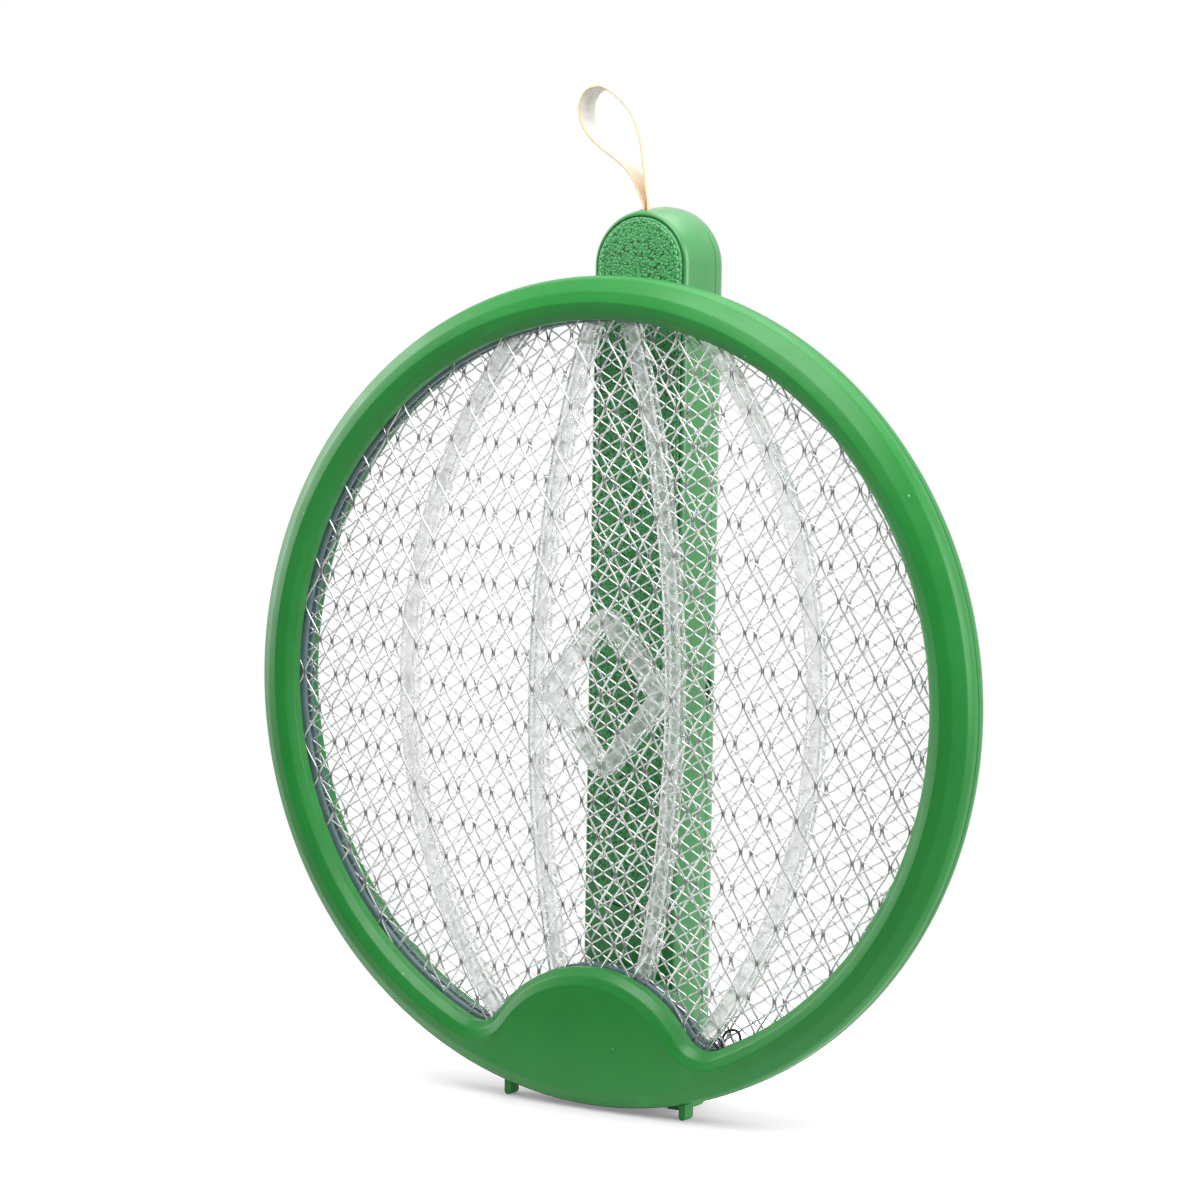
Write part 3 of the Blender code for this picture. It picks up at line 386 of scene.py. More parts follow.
def mesh_of(name, shape):
    """A mesh from (points, faces) in the head's frame, with its faces outward."""
    points, faces = shape
    mesh = bpy.data.meshes.new(name)
    mesh.from_pydata([tuple(p) for p in np.asarray(points) + np.array(ORIGIN)], [], faces)
    work = bmesh.new()
    work.from_mesh(mesh)
    bmesh.ops.recalc_face_normals(work, faces=work.faces)
    work.to_mesh(mesh)
    work.free()
    return mesh


def make(name, shape, body, material, stands_for=(), crease=CREASE):
    """Makes a piece from (points, faces) in the head's frame, riding on a body."""
    mesh = mesh_of(name, shape)
    mesh.shade_smooth()
    mesh.set_sharp_from_angle(angle=math.radians(crease))
    mesh.materials.append(material)
    piece = bpy.data.objects.new(name, mesh)
    bpy.context.scene.collection.objects.link(piece)
    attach(piece, body)
    if stands_for:
        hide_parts(*stands_for)
    return piece


def cut(piece, operation, shape):
    """Applies a Boolean with a shape given in the head's frame."""
    tool = bpy.data.objects.new("tool", mesh_of("tool", shape))
    bpy.context.scene.collection.objects.link(tool)
    change = piece.modifiers.new("cut", "BOOLEAN")
    change.operation = operation
    change.object = tool
    bpy.context.view_layer.update()
    evaluated = piece.evaluated_get(bpy.context.evaluated_depsgraph_get())
    done = bpy.data.meshes.new_from_object(evaluated)
    piece.modifiers.remove(change)
    bpy.data.objects.remove(tool)
    done.shade_smooth()
    done.set_sharp_from_angle(angle=math.radians(CREASE))
    piece.data = done


# ---------------------------------------------------------------- materials


def new_material(name, colour, roughness, **sockets):
    """A Principled material. Sockets are named by their labels, with _ for a space."""
    made = bpy.data.materials.new(name)
    made.use_nodes = True
    shader = made.node_tree.nodes["Principled BSDF"]
    shader.inputs["Base Color"].default_value = (*colour, 1)
    shader.inputs["Roughness"].default_value = roughness
    for label, value in sockets.items():
        shader.inputs[label.replace("_", " ")].default_value = value
    return made


def add(made, kind, **inputs):
    """A new node of a material or world, with its inputs set. A value that is a node's output is linked."""
    node = made.node_tree.nodes.new(kind)
    for label, value in inputs.items():
        socket = node.inputs[label.replace("_", " ")]
        if isinstance(value, bpy.types.NodeSocket):
            made.node_tree.links.new(value, socket)
        else:
            socket.default_value = value
    return node


def feed(made, label, output):
    made.node_tree.links.new(output, made.node_tree.nodes["Principled BSDF"].inputs[label])


def surface_noise(made, scale, detail=3.0, stretch=(1, 1, 1)):
    """Noise over the loaded frame, whose scale is about the number of grains in a metre."""
    place = add(made, "ShaderNodeTexCoord").outputs["Object"]
    mapping = add(made, "ShaderNodeMapping", Vector=place, Scale=stretch)
    node = add(made, "ShaderNodeTexNoise", Vector=mapping.outputs[0], Scale=scale, Detail=detail)
    return node.outputs["Fac"]


def surface_cells(made, scale):
    """Distance from the middle of each of many irregular cells."""
    place = add(made, "ShaderNodeTexCoord").outputs["Object"]
    return add(made, "ShaderNodeTexVoronoi", Vector=place, Scale=scale).outputs["Distance"]


def painted(made, name):
    """The value that a piece's mesh carries under that name."""
    node = add(made, "ShaderNodeAttribute")
    node.attribute_name = name
    return node.outputs["Fac"]


def ramp(made, value, stops):
    """A colour ramp. Stops are (place, colour)."""
    node = add(made, "ShaderNodeValToRGB", Fac=value)
    elements = node.color_ramp.elements
    while len(elements) < len(stops):
        elements.new(0.5)
    for element, (place, colour) in zip(elements, stops):
        element.position = place
        element.color = (*colour, 1)
    return node.outputs["Color"]


def spread(made, value, start, stop, low, high):
    """The value, moved from the range of start to stop onto that of low to high."""
    node = add(made, "ShaderNodeMapRange", Value=value, From_Min=start, From_Max=stop, To_Min=low,
               To_Max=high)
    return node.outputs["Result"]


def between(made, value, low, high):
    """A noise value, which is mostly from 0.3 to 0.7, spread over low to high."""
    return spread(made, value, 0.3, 0.7, low, high)


def mixed(made, factor, first, second):
    """The first colour turning into the second as the factor grows. The second may be a constant."""
    node = made.node_tree.nodes.new("ShaderNodeMix")
    node.data_type = "RGBA"
    links = made.node_tree.links
    links.new(factor, node.inputs["Factor"])
    links.new(first, node.inputs[6])
    if isinstance(second, bpy.types.NodeSocket):
        links.new(second, node.inputs[7])
    else:
        node.inputs[7].default_value = (*second, 1)
    return node.outputs[2]


def roughen(made, height, strength, distance):
    bump = add(made, "ShaderNodeBump", Height=height, Strength=strength, Distance=distance)
    feed(made, "Normal", bump.outputs["Normal"])


def shade(colour, factor):
    return tuple(min(1.0, c * factor) for c in colour)


def plastic(name, colour, roughness=0.34, grain=0.08, specular=0.45, coat=0.0):
    """Moulded plastic: a faint mottle, a fine grain, convex edges a little lighter, and a few pale specks.
    """
    made = new_material(name, colour, roughness, Specular_IOR_Level=specular, Coat_Weight=coat,
                        Coat_Roughness=0.25)
    mottle = ramp(made, surface_noise(made, 45), [(0.30, shade(colour, 0.94)), (0.70, shade(colour, 1.06))])
    edge = add(made, "ShaderNodeNewGeometry").outputs["Pointiness"]
    # Convex edges, found by pointiness, are mixed towards a lighter copy of the colour.
    lighter_edges = mixed(made, spread(made, edge, 0.52, 0.60, 0.0, 0.22), mottle, shade(colour, 1.9))
    dust = spread(made, surface_cells(made, 75.0), 0.018, 0.026, 0.5, 0.0)
    feed(made, "Base Color", mixed(made, dust, lighter_edges, (0.72, 0.80, 0.72)))
    feed(made, "Roughness", between(made, surface_noise(made, 160), roughness - 0.04, roughness + 0.05))
    roughen(made, surface_noise(made, 2600, 2.0), grain, 0.0001)
    return made


def steel(name, colour=(0.80, 0.81, 0.82), roughness=0.28, metallic=1.0):
    """Bright steel with drawn streaks and a slight tint from place to place."""
    made = new_material(name, colour, roughness, Metallic=metallic)
    tint = ramp(made, surface_noise(made, 70), [(0.30, shade(colour, 0.86)), (0.70, shade(colour, 1.08))])
    feed(made, "Base Color", tint)
    feed(made, "Roughness", between(made, surface_noise(made, 420), roughness - 0.06, roughness + 0.10))
    roughen(made, surface_noise(made, 1800, 2.0, (1, 1, 0.1)), 0.12, 0.0001)
    return made


def grid_steel(name, colour, roughness, metallic, node_shade):
    """Grid wire, its colour painted darker where two strands are pressed together, as painted shade in the
    crevice between them.
    """
    made = steel(name, colour, roughness, metallic)
    # Painted shade: the colour darkens towards the spots where a strand touches its neighbour.
    stops = [(0.0, colour), (0.55, shade(colour, 0.90)), (1.0, shade(colour, node_shade))]
    feed(made, "Base Color", ramp(made, painted(made, "node"), stops))
    return made


def clear_plastic(name, tint, roughness, grain=0.12, clarity=1.0):
    """Clear polycarbonate with flow marks. A clarity below 1 adds some of its plain tint."""
    made = new_material(name, tint, roughness, Transmission_Weight=clarity, IOR=1.50)
    feed(made, "Roughness", between(made, surface_noise(made, 260), roughness * 0.6, roughness * 2.4))
    roughen(made, surface_noise(made, 900, 4.0), grain, 0.0003)
    return made


def faceted_clear(name, tint, clarity):
    """Clear plastic with many small facets, as dull and white patches that vary from sharp to hazy."""
    made = clear_plastic(name, tint, 0.04, 0.30, clarity)
    made.node_tree.nodes["Principled BSDF"].inputs["IOR"].default_value = 1.38
    stops = [(0.36, shade(tint, 0.82)), (0.43, tint), (0.60, (1.0, 1.0, 1.0))]
    feed(made, "Base Color", ramp(made, surface_noise(made, 620, 2.0), stops))
    feed(made, "Roughness", between(made, surface_noise(made, 380), 0.04, 0.60))
    return made


def leather(name, colour):
    """Artificial leather whose pits are painted darker, as painted shade in the grain's creases, and are
    rougher than its crowns, which are painted lighter as a painted highlight.
    """
    made = new_material(name, colour, 0.4, Specular_IOR_Level=0.5, Sheen_Weight=0.10)
    # Painted shade and highlight: the pits go nearly black and the crowns lighter than the base colour.
    stops = [(0.0, shade(colour, 0.10)), (0.30, shade(colour, 0.90)), (1.0, shade(colour, 1.30))]
    feed(made, "Base Color", ramp(made, painted(made, "crown"), stops))
    feed(made, "Roughness", between(made, surface_noise(made, 700), 0.28, 0.48))
    roughen(made, surface_cells(made, 1900.0), 0.25, 0.0001)
    return made


def satin(name, body, edge):
    """Woven satin ribbon, with a selvedge of metallic thread, and a painted warm bounce light on its inner
    side where it meets the handle.
    """
    made = new_material(name, body, 0.42, Sheen_Weight=0.15, Sheen_Roughness=0.4)
    threads = surface_noise(made, 900, 2.0, (1, 7, 1))
    cloth = ramp(made, threads, [(0.30, shade(body, 0.95)), (0.70, shade(body, 1.04))])
    gold = ramp(made, surface_noise(made, 2600, 1.0), [(0.35, shade(edge, 0.85)), (0.65, shade(edge, 1.15))])
    # Painted bounce light: the inner side near the handle is tinted warm orange, standing for light thrown
    # back from the ribbon's other leg.
    painted_bounce = ramp(made, painted(made, "painted_bounce"), [(0.0, (0, 0, 0)), (1.0, (0.7, 0.7, 0.7))])
    bounce_lit_cloth = mixed(made, painted_bounce, cloth, (0.95, 0.52, 0.20))
    feed(made, "Base Color", mixed(made, painted(made, "selvedge"), bounce_lit_cloth, gold))
    roughen(made, threads, 0.04, 0.0001)
    return made


def circuit_board(name):
    """Green solder mask over pale copper tracks."""
    made = new_material(name, (0.02, 0.12, 0.06), 0.35)
    place = add(made, "ShaderNodeTexCoord").outputs["Object"]
    tracks = add(made, "ShaderNodeTexVoronoi", Vector=place, Scale=420.0)
    tracks.distance = "MANHATTAN"
    colour = ramp(made, tracks.outputs["Distance"],
                  [(0.10, (0.62, 0.48, 0.20)), (0.16, (0.03, 0.19, 0.09)), (0.55, (0.015, 0.10, 0.05))])
    feed(made, "Base Color", colour)
    roughen(made, tracks.outputs["Distance"], 0.3, 0.0001)
    return made


GREEN = (0.016, 0.235, 0.036)
# The handle's green is the ring's green made a little paler: partly the handle's own colour, partly painted
# sheen standing for its whitish gloss.
HANDLE_GREEN = (0.034, 0.245, 0.058)
PAD_GREEN = (0.060, 0.300, 0.095)

SHELL = plastic("ring_green", GREEN)
HANDLE = plastic("handle_green", HANDLE_GREEN, specular=0.6, coat=0.6)
FORK = plastic("fork_green", shade(GREEN, 0.85), 0.48)
WIRE = grid_steel("grid_wire", (0.92, 0.92, 0.92), 0.24, 0.76, 0.42)
FINE_WIRE = grid_steel("fine_grid_wire", (0.94, 0.94, 0.94), 0.28, 0.70, 0.80)
PIN = steel("pin_steel", (0.55, 0.56, 0.57), 0.22)
SCREW = steel("screw_steel", (0.42, 0.43, 0.44), 0.26)
SOCKET = steel("socket_steel", (0.60, 0.60, 0.61), 0.22)
CLEAR = faceted_clear("clear_ribs", (0.985, 1.0, 0.995), 0.93)
# The clear ring's tint is darkened to a teal grey: painted reflection of the dark surroundings seen through
# and in the ring.
CLEAR_RING = clear_plastic("clear_ring", (0.30, 0.45, 0.47), 0.08, 0.0, 0.60)
LENS = clear_plastic("led_lens", (0.93, 0.95, 0.96), 0.10)
LEATHER = leather("grip_leather", PAD_GREEN)
THREAD = plastic("stitch_thread", (0.22, 0.56, 0.28), 0.6, 0.5)
RIBBON = satin("strap_satin", (0.75, 0.73, 0.68), (0.70, 0.57, 0.33))
WASHER = plastic("washer_nylon", (0.74, 0.74, 0.70), 0.45)
BLACK = plastic("black_insulation", (0.015, 0.015, 0.017), 0.38)
WRAP = plastic("component_wrap", (0.03, 0.13, 0.38), 0.32)
BOARD = circuit_board("board_green")
BUTTON = plastic("button_green", shade(GREEN, 0.72), 0.36)
SLIDER = plastic("slider_white", (0.70, 0.71, 0.70), 0.38)


# ---------------------------------------------------------------- hanging loop


def strap_route():
    """The loop's middle line, as the CAD has it, from one side of its pin round to the other."""
    route = [(-0.0018, 0.1240), (-0.0012, 0.1262), (-0.0006, 0.1285), (-0.0008, 0.1311), (-0.0021, 0.1337),
             (-0.0040, 0.1373), (-0.0068, 0.1409), (-0.0107, 0.1439), (-0.0149, 0.1466), (-0.0182, 0.1494),
             (-0.0208, 0.1527), (-0.0218, 0.1562), (-0.0214, 0.1597), (-0.0193, 0.1624), (-0.0154, 0.1631),
             (-0.0120, 0.1617), (-0.0088, 0.1594), (-0.0055, 0.1559), (-0.0034, 0.1520), (-0.0022, 0.1483),
             (-0.0013, 0.1430), (-0.0005, 0.1376), (0.0002, 0.1335), (0.0006, 0.1311), (0.0006, 0.1285),
             (0.0012, 0.1262), (0.0018, 0.1240)]
    return [(p.x, p.z) for p in smooth_line([(x, 0, z) for x, z in route], 6)]


def make_strap():
    """A flat ribbon with a corded edge on each side."""
    body_half, edge_half, edge_width = 0.00019, 0.00030, 0.0006
    middle, half = STRAP_FRONT_Y + STRAP_WIDTH / 2, STRAP_WIDTH / 2
    across = [0, 0.15, 0.4, 0.7, 1.0, 1.3]
    near_edge = [-half + edge_width * a for a in across]
    places = near_edge + [half * t for t in (-0.6, -0.3, 0, 0.3, 0.6)] + [-v for v in reversed(near_edge)]

    def thickness(place):
        inset = (half - abs(place)) / edge_width
        if inset >= 1.3:
            return body_half
        bead = edge_half * math.sqrt(max(0.0, 1 - (inset * 2 - 1) ** 2)) if inset <= 1 else 0
        return max(bead, body_half if inset > 0.6 else 0.00008)

    front = [(-thickness(v), middle + v) for v in places]
    back = [(thickness(v), middle + v) for v in reversed(places)]
    line = spaced(strap_route(), 0.0006)
    piece = make("strap", sweep(line, front + back), "handle", RIBBON, ["wrist_strap"], 50)
    marks = piece.data.attributes.new("selvedge", "FLOAT", "POINT")
    # This layer marks where the ribbon's inner side gets its painted warm bounce light, fading in from the
    # top height down.
    painted_bounce = piece.data.attributes.new("painted_bounce", "FLOAT", "POINT")
    for point, mark, bounce in zip(piece.data.vertices, marks.data, painted_bounce.data):
        inset = point.co.y - ORIGIN.y - STRAP_FRONT_Y
        mark.value = 1.0 if inset < edge_width * 1.05 else 0.0
        inner = point.index % (2 * len(places)) >= len(places)
        below = BOUNCE_TOP_Z - (point.co.z - ORIGIN.z)
        bounce.value = inner * min(1.0, max(0.0, below / BOUNCE_LENGTH))


# ---------------------------------------------------------------- ring shells


def ring_section(rows):
    outlines = {"rim": rim, "opening": opening}
    return [at_y(outlines[kind](value), y) for kind, value, y, _ in rows]


# Each row has the outline that the loop follows, its radius or offset, y, and the corner's rounding
FRONT_RING_SECTION = (
    ("rim", RING_RADIUS, RING_SEAM_Y, 0.0001),
    ("rim", RING_RADIUS, -0.0014, 0.0005),
    ("rim", 0.1107, -0.0033, 0.0005),
    ("rim", 0.1073, -0.0057, 0.0004),
    ("opening", 0.0043, FRONT_Y, 0.0003),
    ("opening", 0.0017, -0.0055, 0.0004),
    ("opening", -0.0002, -0.0035, 0.0003),
    ("opening", -0.0002, -0.0008, 0.0001),
    ("opening", 0.0018, -0.0008, 0.0002),
    ("opening", 0.0043, -0.0049, 0.0004),
    ("rim", 0.1065, -0.0042, 0.0004),
    ("rim", 0.1098, -0.0010, 0.0004),
    ("rim", 0.1098, RING_SEAM_Y, 0.0001),
)
REAR_RING_SECTION = (
    ("rim", RING_RADIUS, RING_SEAM_Y + SEAM_GAP, 0.0001),
    ("rim", RING_RADIUS, 0.0030, 0.0006),
    ("rim", 0.1103, 0.0062, 0.0008),
    ("rim", 0.1075, 0.0092, 0.0007),
    ("opening", 0.0043, 0.0100, 0.0006),
    ("opening", 0.0005, 0.0090, 0.0006),
    ("opening", 0.0005, 0.0063, 0.0001),
    ("opening", 0.0023, 0.0063, 0.0002),
    ("opening", 0.0043, 0.0085, 0.0004),
    ("rim", 0.1066, 0.0079, 0.0004),
    ("rim", 0.1089, 0.0054, 0.0004),
    ("rim", 0.1098, 0.0028, 0.0004),
    ("rim", 0.1098, RING_SEAM_Y + SEAM_GAP, 0.0001),
)


def ring_screw_places():
    turns = [math.radians(a) for a in RING_SCREW_ANGLES]
    return [(RING_SCREW_RADIUS * math.cos(t), RING_SCREW_RADIUS * math.sin(t)) for t in turns]


def make_ring_shells():
    for name, rows in (("front_ring_shell", FRONT_RING_SECTION), ("rear_ring_shell", REAR_RING_SECTION)):
        loops = softened(ring_section(rows), [row[3] for row in rows], joined=True)
        shape = loft(loops, joined=True)
        piece = make(name.replace("_shell", ""), shape, "head", SHELL, [name])
        if name == "rear_ring_shell":
            wells = [turned([(0.0023, 0.0072), (0.0023, 0.0110)], spot, 28) for spot in ring_screw_places()]
            cut(piece, "DIFFERENCE", merged(wells))


# ---------------------------------------------------------------- grids


def within(outline, points):
    """Whether each point is inside a closed outline: whether a ray from it crosses the outline an odd number
    of times."""
    outline = np.array(outline)
    x, z = points[:, 0], points[:, 1]
    crossed = np.zeros(len(points), bool)
    for (x0, z0), (x1, z1) in zip(outline, np.roll(outline, -1, axis=0)):
        if z0 == z1:
            continue
        passes = (z < z0) != (z < z1)
        crossed ^= passes & (x < x0 + (x1 - x0) * (z - z0) / (z1 - z0))
    return crossed


def make_grid(name, node, layer_y, drop, cell, strand, steps, sharpness, material):
    """Zigzag strands that touch their neighbours in turn, cut to the clamped edge.

    A sharpness of 1 gives straight zigzags, and a lower one rounds their turns.
    """
    wide, tall = cell
    width, thickness = strand
    outline = opening(GRID_CLAMP)
    section = [(width / 2 * c, layer_y + thickness / 2 * s) for c, s in circle((0, 0), 1, STRAND_SIDES)]
    count = math.ceil(OPENING_RADIUS / (wide / 2)) + 1
    places = np.arange(-RING_RADIUS, RING_RADIUS, tall / 2 / steps)
    amplitude = wide / 4 - width * NODE_GAP / 2
    parts, marks = [], []
    for index in range(-count, count + 1):
        swing = np.arcsin(sharpness * np.cos(2 * np.pi * (places + drop) / tall)) / math.asin(sharpness)
        x = (index + 0.5) * wide / 2 - (-1) ** index * swing * amplitude
        line = np.stack([x, places], axis=1)
        inside = within(outline, line)
        edges = np.flatnonzero(np.diff(np.concatenate([[0], inside.astype(int), [0]])))
        for start, stop in zip(edges[::2], edges[1::2]):
            if stop - start > 2:
                parts.append(sweep(line[start:stop], section))
                marks += list(np.repeat(np.abs(swing[start:stop]), STRAND_SIDES))
    piece = make(name, merged(parts), "head", material, [node], 60)
    # This layer gives how near each point is to a neighbouring strand, for the painted shade where strands
    # touch.
    layer = piece.data.attributes.new("node", "FLOAT", "POINT")
    layer.data.foreach_set("value", np.clip((np.array(marks) - NODE_START) / (1 - NODE_START), 0, 1))


def make_grids():
    outer = (OUTER_CELL, OUTER_STRAND, 12, 0.84, WIRE)
    fine = (MIDDLE_CELL, MIDDLE_STRAND, 8, 0.66, FINE_WIRE)
    make_grid("front_wire_grid", "front_grid", FRONT_GRID_Y, FRONT_GRID_DROP, *outer)
    make_grid("middle_wire_grid", "middle_grid", MIDDLE_GRID_Y, 0.0, *fine)
    make_grid("rear_wire_grid", "rear_grid", REAR_GRID_Y, REAR_GRID_DROP, *outer)


# ---------------------------------------------------------------- clear rib frames


def bar_section(layer_y, half_width, half_depth, floor_depth):
    """A bar's section as a function of the distance along it, with a round dent across it at each pitch."""
    rail = half_width - 0.0004
    right = [rail * 0.2, rail * 0.6, rail - 0.0002, rail, half_width * 0.96, half_width]
    across = [-u for u in reversed(right)] + right

    def section(place):
        beat = (place / RIB_FACET_PITCH) % 1.0 - 0.5
        dent = math.sqrt(max(0.0, 1 - (beat / 0.18) ** 2))
        front = []
        for u in across:
            if abs(u) >= half_width * 0.99:
                depth = half_depth * 0.75
            elif abs(u) >= rail - 0.00001:
                depth = half_depth
            else:
                depth = half_depth * 0.92 - (half_depth * 0.92 - floor_depth) * dent
            front.append((u, depth))
        return [(u, layer_y - d) for u, d in front] + [(u, layer_y + d) for u, d in reversed(front)]

    return section


def make_rib_frame(name, layer_y, node):
    half = RIB_FRAME_THICKNESS / 2 - 0.00005
    wide, narrow = RIM_HALF_WIDTH, RIM_HALF_WIDTH - RIM_BEVEL
    front = [(-wide, -half * 0.7), (-narrow, -half), (narrow, -half), (wide, -half * 0.7)]
    edge = [(u, layer_y + v) for u, v in front + [(-u, -v) for u, v in front]]
    ring = sweep(spaced(opening(0.0009), 0.0015, closed=True), edge, closed=True)
    make(f"{name}_ring", ring, "head", CLEAR_RING, [node], 50)
    parts = []
    rib = bar_section(layer_y, RIB_WIDTH / 2, half, half * 0.30)
    for side in (-1, 1):
        for ends in (OUTER_RIB, INNER_RIB):
            first, middle, last = [(side * x, z) for x, z in ends]
            parts.append(sweep(spaced(arc_through(first, middle, last, 90), BAR_STEP), rib))
    slope = math.atan2(DIAMOND_HALF_WIDTH, DIAMOND_HALF_HEIGHT)
    thin = DIAMOND_BAR / 2 / math.cos(slope)
    tall = thin * DIAMOND_HALF_HEIGHT / DIAMOND_HALF_WIDTH
    line = rounded_diamond(DIAMOND_HALF_WIDTH - thin, DIAMOND_HALF_HEIGHT - tall, DIAMOND_CORNER * 0.75, 8)
    bar = bar_section(layer_y, DIAMOND_BAR / 2, half * 0.96, half * 0.28)
    parts.append(sweep(spaced(line, BAR_STEP, closed=True), bar, closed=True))
    make(name, merged(parts), "head", CLEAR, [node], 50)


def make_rib_frames():
    make_rib_frame("front_clear_ribs", (FRONT_GRID_Y + MIDDLE_GRID_Y) / 2, "front_rib_frame")
    make_rib_frame("rear_clear_ribs", (MIDDLE_GRID_Y + REAR_GRID_Y) / 2, "rear_rib_frame")


# ---------------------------------------------------------------- handle


def make_handle_front():
    seam = HANDLE_SEAM_Y - SEAM_GAP / 2
    half = PAD_HALF_WIDTH + PAD_GAP
    recess = handle_outline(half, PAD_BOTTOM_Z - PAD_GAP, half - PAD_FOOT_FLAT)
    face = handle_outline(HANDLE_FACE_HALF_WIDTH, HANDLE_BOTTOM_Z + 0.0004, HANDLE_CORNER)
    loops = [at_y(recess, PAD_RECESS_Y), at_y(recess, HANDLE_FRONT_Y), at_y(face, HANDLE_FRONT_Y)]
    for y in (*HANDLE_SIDE_YS, seam - 0.0003, seam):
        inset = 0.0002 if y == seam else 0
        loops.append(at_y(handle_outline(handle_half_width(y) - inset, HANDLE_BOTTOM_Z, HANDLE_CORNER), y))
    inner_bottom, inner_corner = HANDLE_BOTTOM_Z + HANDLE_WALL, HANDLE_CORNER - HANDLE_WALL / 2
    for y in (seam, HANDLE_SIDE_YS[-1], HANDLE_CAVITY_Y):
        half = handle_half_width(y) - HANDLE_WALL
        loops.append(at_y(handle_outline(half, inner_bottom, inner_corner), y))
    radii = [0, 0.00015, 0.0003, 0.0006, 0.001, 0.001, 0.001, 0.0001, 0.00005, 0.0001, 0.0005, 0]
    shell = make("handle_front", loft(softened(loops, radii)), "handle", HANDLE,
                 ["handle_front_shell"])
    slit_back = STRAP_FRONT_Y + STRAP_WIDTH + 0.0004
    slit = box((-0.0015, STRAP_FRONT_Y - 0.0004, 0.1220), (0.0015, slit_back, 0.1330))
    tang = box((-0.0123, 0.0186, -0.0980), (0.0123, 0.0218, -0.0930))
    cut(shell, "DIFFERENCE", merged([slit, tang, port_cutter()]))


def port_cutter():
    """The charging port's slot: a rounded bar across the seam on the right side."""
    ends = (PORT_TALL - PORT_THIN) / 2
    outline = arc((HANDLE_SEAM_Y, PORT_Z + ends), PORT_THIN / 2, 0, 180, 16)
    outline += arc((HANDLE_SEAM_Y, PORT_Z - ends), PORT_THIN / 2, 180, 360, 16)
    return loft([[(x, y, z) for y, z in outline] for x in (0.0130, 0.0180)])


def make_handle_rear():
    seam = HANDLE_SEAM_Y + SEAM_GAP / 2
    edge_centre = HANDLE_REAR_Y - HANDLE_EDGE_RADIUS
    core = HANDLE_HALF_WIDTH - 0.0001 - HANDLE_EDGE_RADIUS
    loops = [at_y(handle_outline(handle_half_width(seam) - 0.0002, HANDLE_BOTTOM_Z, HANDLE_CORNER), seam)]
    for turn in range(0, 91, 10):
        out = HANDLE_EDGE_RADIUS * math.cos(math.radians(turn))
        y = edge_centre + HANDLE_EDGE_RADIUS * math.sin(math.radians(turn))
        rise = (HANDLE_EDGE_RADIUS - out) * 0.6
        loops.append(at_y(handle_outline(core + out, HANDLE_BOTTOM_Z + rise, HANDLE_CORNER - rise / 4), y))
    loops.reverse()
    inner_y = HANDLE_REAR_Y - HANDLE_WALL
    inner_radius = HANDLE_EDGE_RADIUS - HANDLE_WALL
    inner_bottom = HANDLE_BOTTOM_Z + HANDLE_WALL + 0.0006
    for half, y in ((core + inner_radius, seam), (core + inner_radius, edge_centre), (core, inner_y)):
        loops.append(at_y(handle_outline(half, inner_bottom, HANDLE_CORNER - 0.0008), y))
    cover = make("handle_cover", loft(loops), "handle", HANDLE, ["handle_rear_cover"])
    screw_well = [(0.0023, 0.0343), (0.0023, 0.0356), (0.0026, 0.0362)]
    bore = BUTTON_RADIUS + 0.0003
    button_hole = [(bore, 0.0330), (bore, 0.0356), (bore + 0.0005, 0.0364)]
    lens_hole = [(0.0018, 0.0330), (0.0018, 0.0357), (0.0022, 0.0363)]
    slider_top = SLIDER_Z + SLIDER_TRAVEL + 0.0028
    cuts = [turned(screw_well, spot, 28) for spot in HANDLE_SCREW_PLACES]
    cuts.append(turned(button_hole, (0, BUTTON_Z), 48))
    cuts.append(turned(lens_hole, (0, LED_Z), 28))
    cuts.append(box((-0.0023, 0.0330, SLIDER_Z - 0.0028), (0.0023, 0.0380, slider_top)))
    cuts.append(port_cutter())
    cut(cover, "DIFFERENCE", merged(cuts))


def pad_outline(inset, steps=45):
    """The pad's edge, moved in by inset: a half circle above, and nearly one below."""
    half = PAD_HALF_WIDTH - inset
    corner = max(half - PAD_FOOT_FLAT, 0.0)
    bottom = PAD_BOTTOM_Z + inset
    top = arc((0, HANDLE_TOP_Z), half, 0, 180, 4 * steps)
    left = [(-half, z) for z in np.linspace(HANDLE_TOP_Z, bottom + corner, 18 * steps)[1:-1]]
    low = arc((-half + corner, bottom + corner), corner, 180, 270, 2 * steps)
    low += arc((half - corner, bottom + corner), corner, 270, 360, 2 * steps)
    right = [(-x, z) for x, z in reversed(left)]
    return top + left + low + right


def grain(x, z):
    """Leather grain from 0 in a crease to 1 on a crown."""
    near, second = noise.voronoi(Vector((x, 0.3 * z, z)) / GRAIN_SIZE)[0][:2]
    ridge = min(1.0, max(0.0, (second - near) / 0.30))
    return ridge * ridge * (3 - 2 * ridge)


